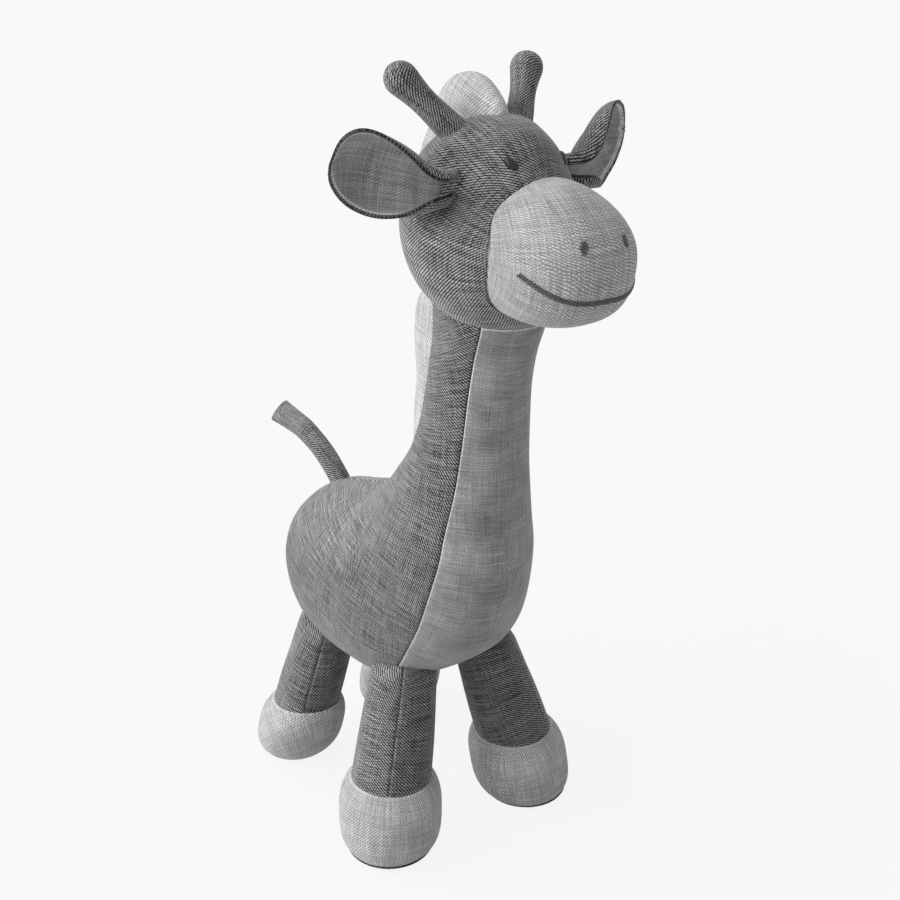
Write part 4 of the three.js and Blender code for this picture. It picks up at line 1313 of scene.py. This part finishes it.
# Where the right and the left eye sit on the head. The left one sits a little farther round
eye_shares = {-1: (0.32, -0.56, 0.70), 1: (0.415, -0.50, 0.675)}
eye_roll = 45
nostril_width = 4.2 * mm
nostril_height = 5 * mm
nostril_spread = 9.9 * mm
nostril_rise = 5 * mm
stitch_width = 2.5 * mm
mouth_drop = 16.3 * mm
mouth_width = 52.8 * mm
mouth_rise = 9.4 * mm
mouth_tilt = 0.8 * mm
stitch_pitch = 1.1 * mm
stitch_thickness = 1.04 * mm
stitch_slant = 58
nostril_stitches = 5
nostril_slant = 12
nostril_stitch_sizes = (0.55 * mm, 0.6 * mm)
smile_stitch_sizes = (stitch_width * 0.62, stitch_thickness / 2, 0.62 * mm)
far_out = 0.2


def bead_finish():
    """Black moulded bead, polished, with the faintest unevenness."""
    finish = Finish(bpy.data.materials.new("black_bead"))
    place = finish.node("ShaderNodeTexCoord", output="Object")
    cloud = finish.node("ShaderNodeTexNoise", {"Vector": place, "Scale": 900.0, "Detail": 2.0})
    shader = finish.node("ShaderNodeBsdfPrincipled", {
        "Base Color": finish.mix(cloud, (0.012, 0.012, 0.013, 1), (0.03, 0.03, 0.032, 1)),
        "Roughness": 0.12 + cloud * 0.08, "Specular IOR Level": 0.15, "Coat Weight": 0.3,
        "Coat Roughness": 0.05,
    })
    return finish.surface(shader)


def thread_finish():
    """Dark embroidery thread: twisted strands with a dull silk sheen."""
    finish = Finish(bpy.data.materials.new("dark_thread"))
    place = finish.node("ShaderNodeTexCoord", output="Object")
    strands = finish.node("ShaderNodeTexNoise", {"Vector": place, "Scale": 2600.0, "Detail": 3.0})
    shader = finish.node("ShaderNodeBsdfPrincipled", {
        "Base Color": finish.mix(strands.ramp(0.3, 0.7), (0.02, 0.02, 0.021, 1), (0.13, 0.13, 0.132, 1)),
        "Roughness": 0.6, "Sheen Weight": 0.3,
        "Normal": finish.node("ShaderNodeBump", {"Height": strands, "Strength": 0.4, "Distance": 0.1 * mm}),
    })
    return finish.surface(shader)


black_bead = bead_finish()
dark_thread = thread_finish()


def turned_to(along, out):
    """A turn whose first axis points along and whose third points out."""
    return Matrix((along, out.cross(along), out)).transposed().to_4x4()


def set_square(place, outwards, roll):
    """A frame whose third axis points out and whose second points as far up as it can."""
    out = outwards.normalized()
    basis = turned_to(skyward.cross(out).normalized(), out)
    return Matrix.Translation(place) @ basis @ Matrix.Rotation(radians(roll), 4, "Z")


def add_bead(name, half_sizes, placed, rows=20):
    bpy.ops.object.select_all(action="DESELECT")
    bpy.ops.mesh.primitive_uv_sphere_add(segments=2 * rows, ring_count=rows, radius=1)
    bead = bpy.context.object
    bead.name = name
    bead.data.transform(placed @ Matrix.Diagonal((*half_sizes, 1)))
    smooth(bead)
    return bead


def sew_stitches(name, frames, half_sizes, body, covers):
    """Many small slanting stitches, each a rounded bar of a few faces, as one piece."""
    bars = bmesh.new()
    for placed in frames:
        bmesh.ops.create_uvsphere(
            bars, u_segments=8, v_segments=6, radius=1, matrix=placed @ Matrix.Diagonal((*half_sizes, 1)),
        )
    mesh = bpy.data.meshes.new(name)
    bars.to_mesh(mesh)
    bars.free()
    piece = add_object(name, mesh)
    smooth(piece)
    dress(piece, body, dark_thread, covers)


def muzzle_front(x, z):
    high = (z + muzzle_drop) / (muzzle_depth / 2)
    rise = muzzle_rise(high)
    flat = (1 - abs(high) ** rise) ** (1 / rise)
    narrow = bridge(high)
    wide = abs(x) / (narrow * muzzle_width / 2)
    deep = max(0, flat ** muzzle_squareness - wide ** muzzle_squareness) ** (1 / muzzle_squareness)
    return head_middle + Vector((x, muzzle_forward - deep * narrow * muzzle_length / 2, z))


def ray_out(piece, start, spot):
    """The point of a piece furthest out from a start towards a spot, and the way out there."""
    way = (spot - start).normalized()
    return piece.ray_cast(start + way * far_out, -way)[1:3]


for side in (-1, 1):
    label = side_names[side]
    place, out = ray_out(head, head_middle, on_head(side, *eye_shares[side]))
    placed = set_square(place, out, -side * eye_roll)
    eye = add_bead(f"bead_eye_{label}", (eye_width / 2, eye_height / 2, eye_dome), placed)
    dress(eye, "head", black_bead, [f"eye_{label}"])

    place, out = ray_out(muzzle, muzzle_middle, muzzle_front(side * nostril_spread, nostril_rise))
    square = set_square(place, out, 0)
    frames = []
    for k in range(nostril_stitches):
        rise = (2 * k + 1) / nostril_stitches - 1
        half = sqrt(1 - rise * rise)
        shifted = square @ Matrix.Translation((0, rise * nostril_height / 2, 0))
        slanted = Matrix.Rotation(radians(nostril_slant), 4, "Z")
        frames.append(shifted @ slanted @ Matrix.Diagonal((half, 1, 1, 1)))
    half_sizes = (nostril_width / 2, *nostril_stitch_sizes)
    sew_stitches(f"nostril_stitches_{label}", frames, half_sizes, "head", [f"nostril_{label}"])


def mouth_place(across):
    """A point of the smile and the muzzle's way out there, for a share across from -1 to 1."""
    height = mouth_rise * across ** 4 - mouth_drop - mouth_tilt * across
    return ray_out(muzzle, muzzle_middle, muzzle_front(across * mouth_width / 2, height))


mouth_travel = even_places(apart(lambda place: mouth_place(place - 1)[0]), 2, stitch_pitch)
mouth_frames = []
for before, after in zip(mouth_travel, mouth_travel[1:]):
    (start, out), (end, _) = mouth_place(before - 1), mouth_place(after - 1)
    basis = turned_to((end - start).normalized(), out)
    slanted = Matrix.Rotation(radians(stitch_slant), 4, "Z")
    mouth_frames.append(Matrix.Translation((start + end) / 2) @ basis @ slanted)
sew_stitches("smile_stitches", mouth_frames, smile_stitch_sizes, "head", ["mouth_stitch"])
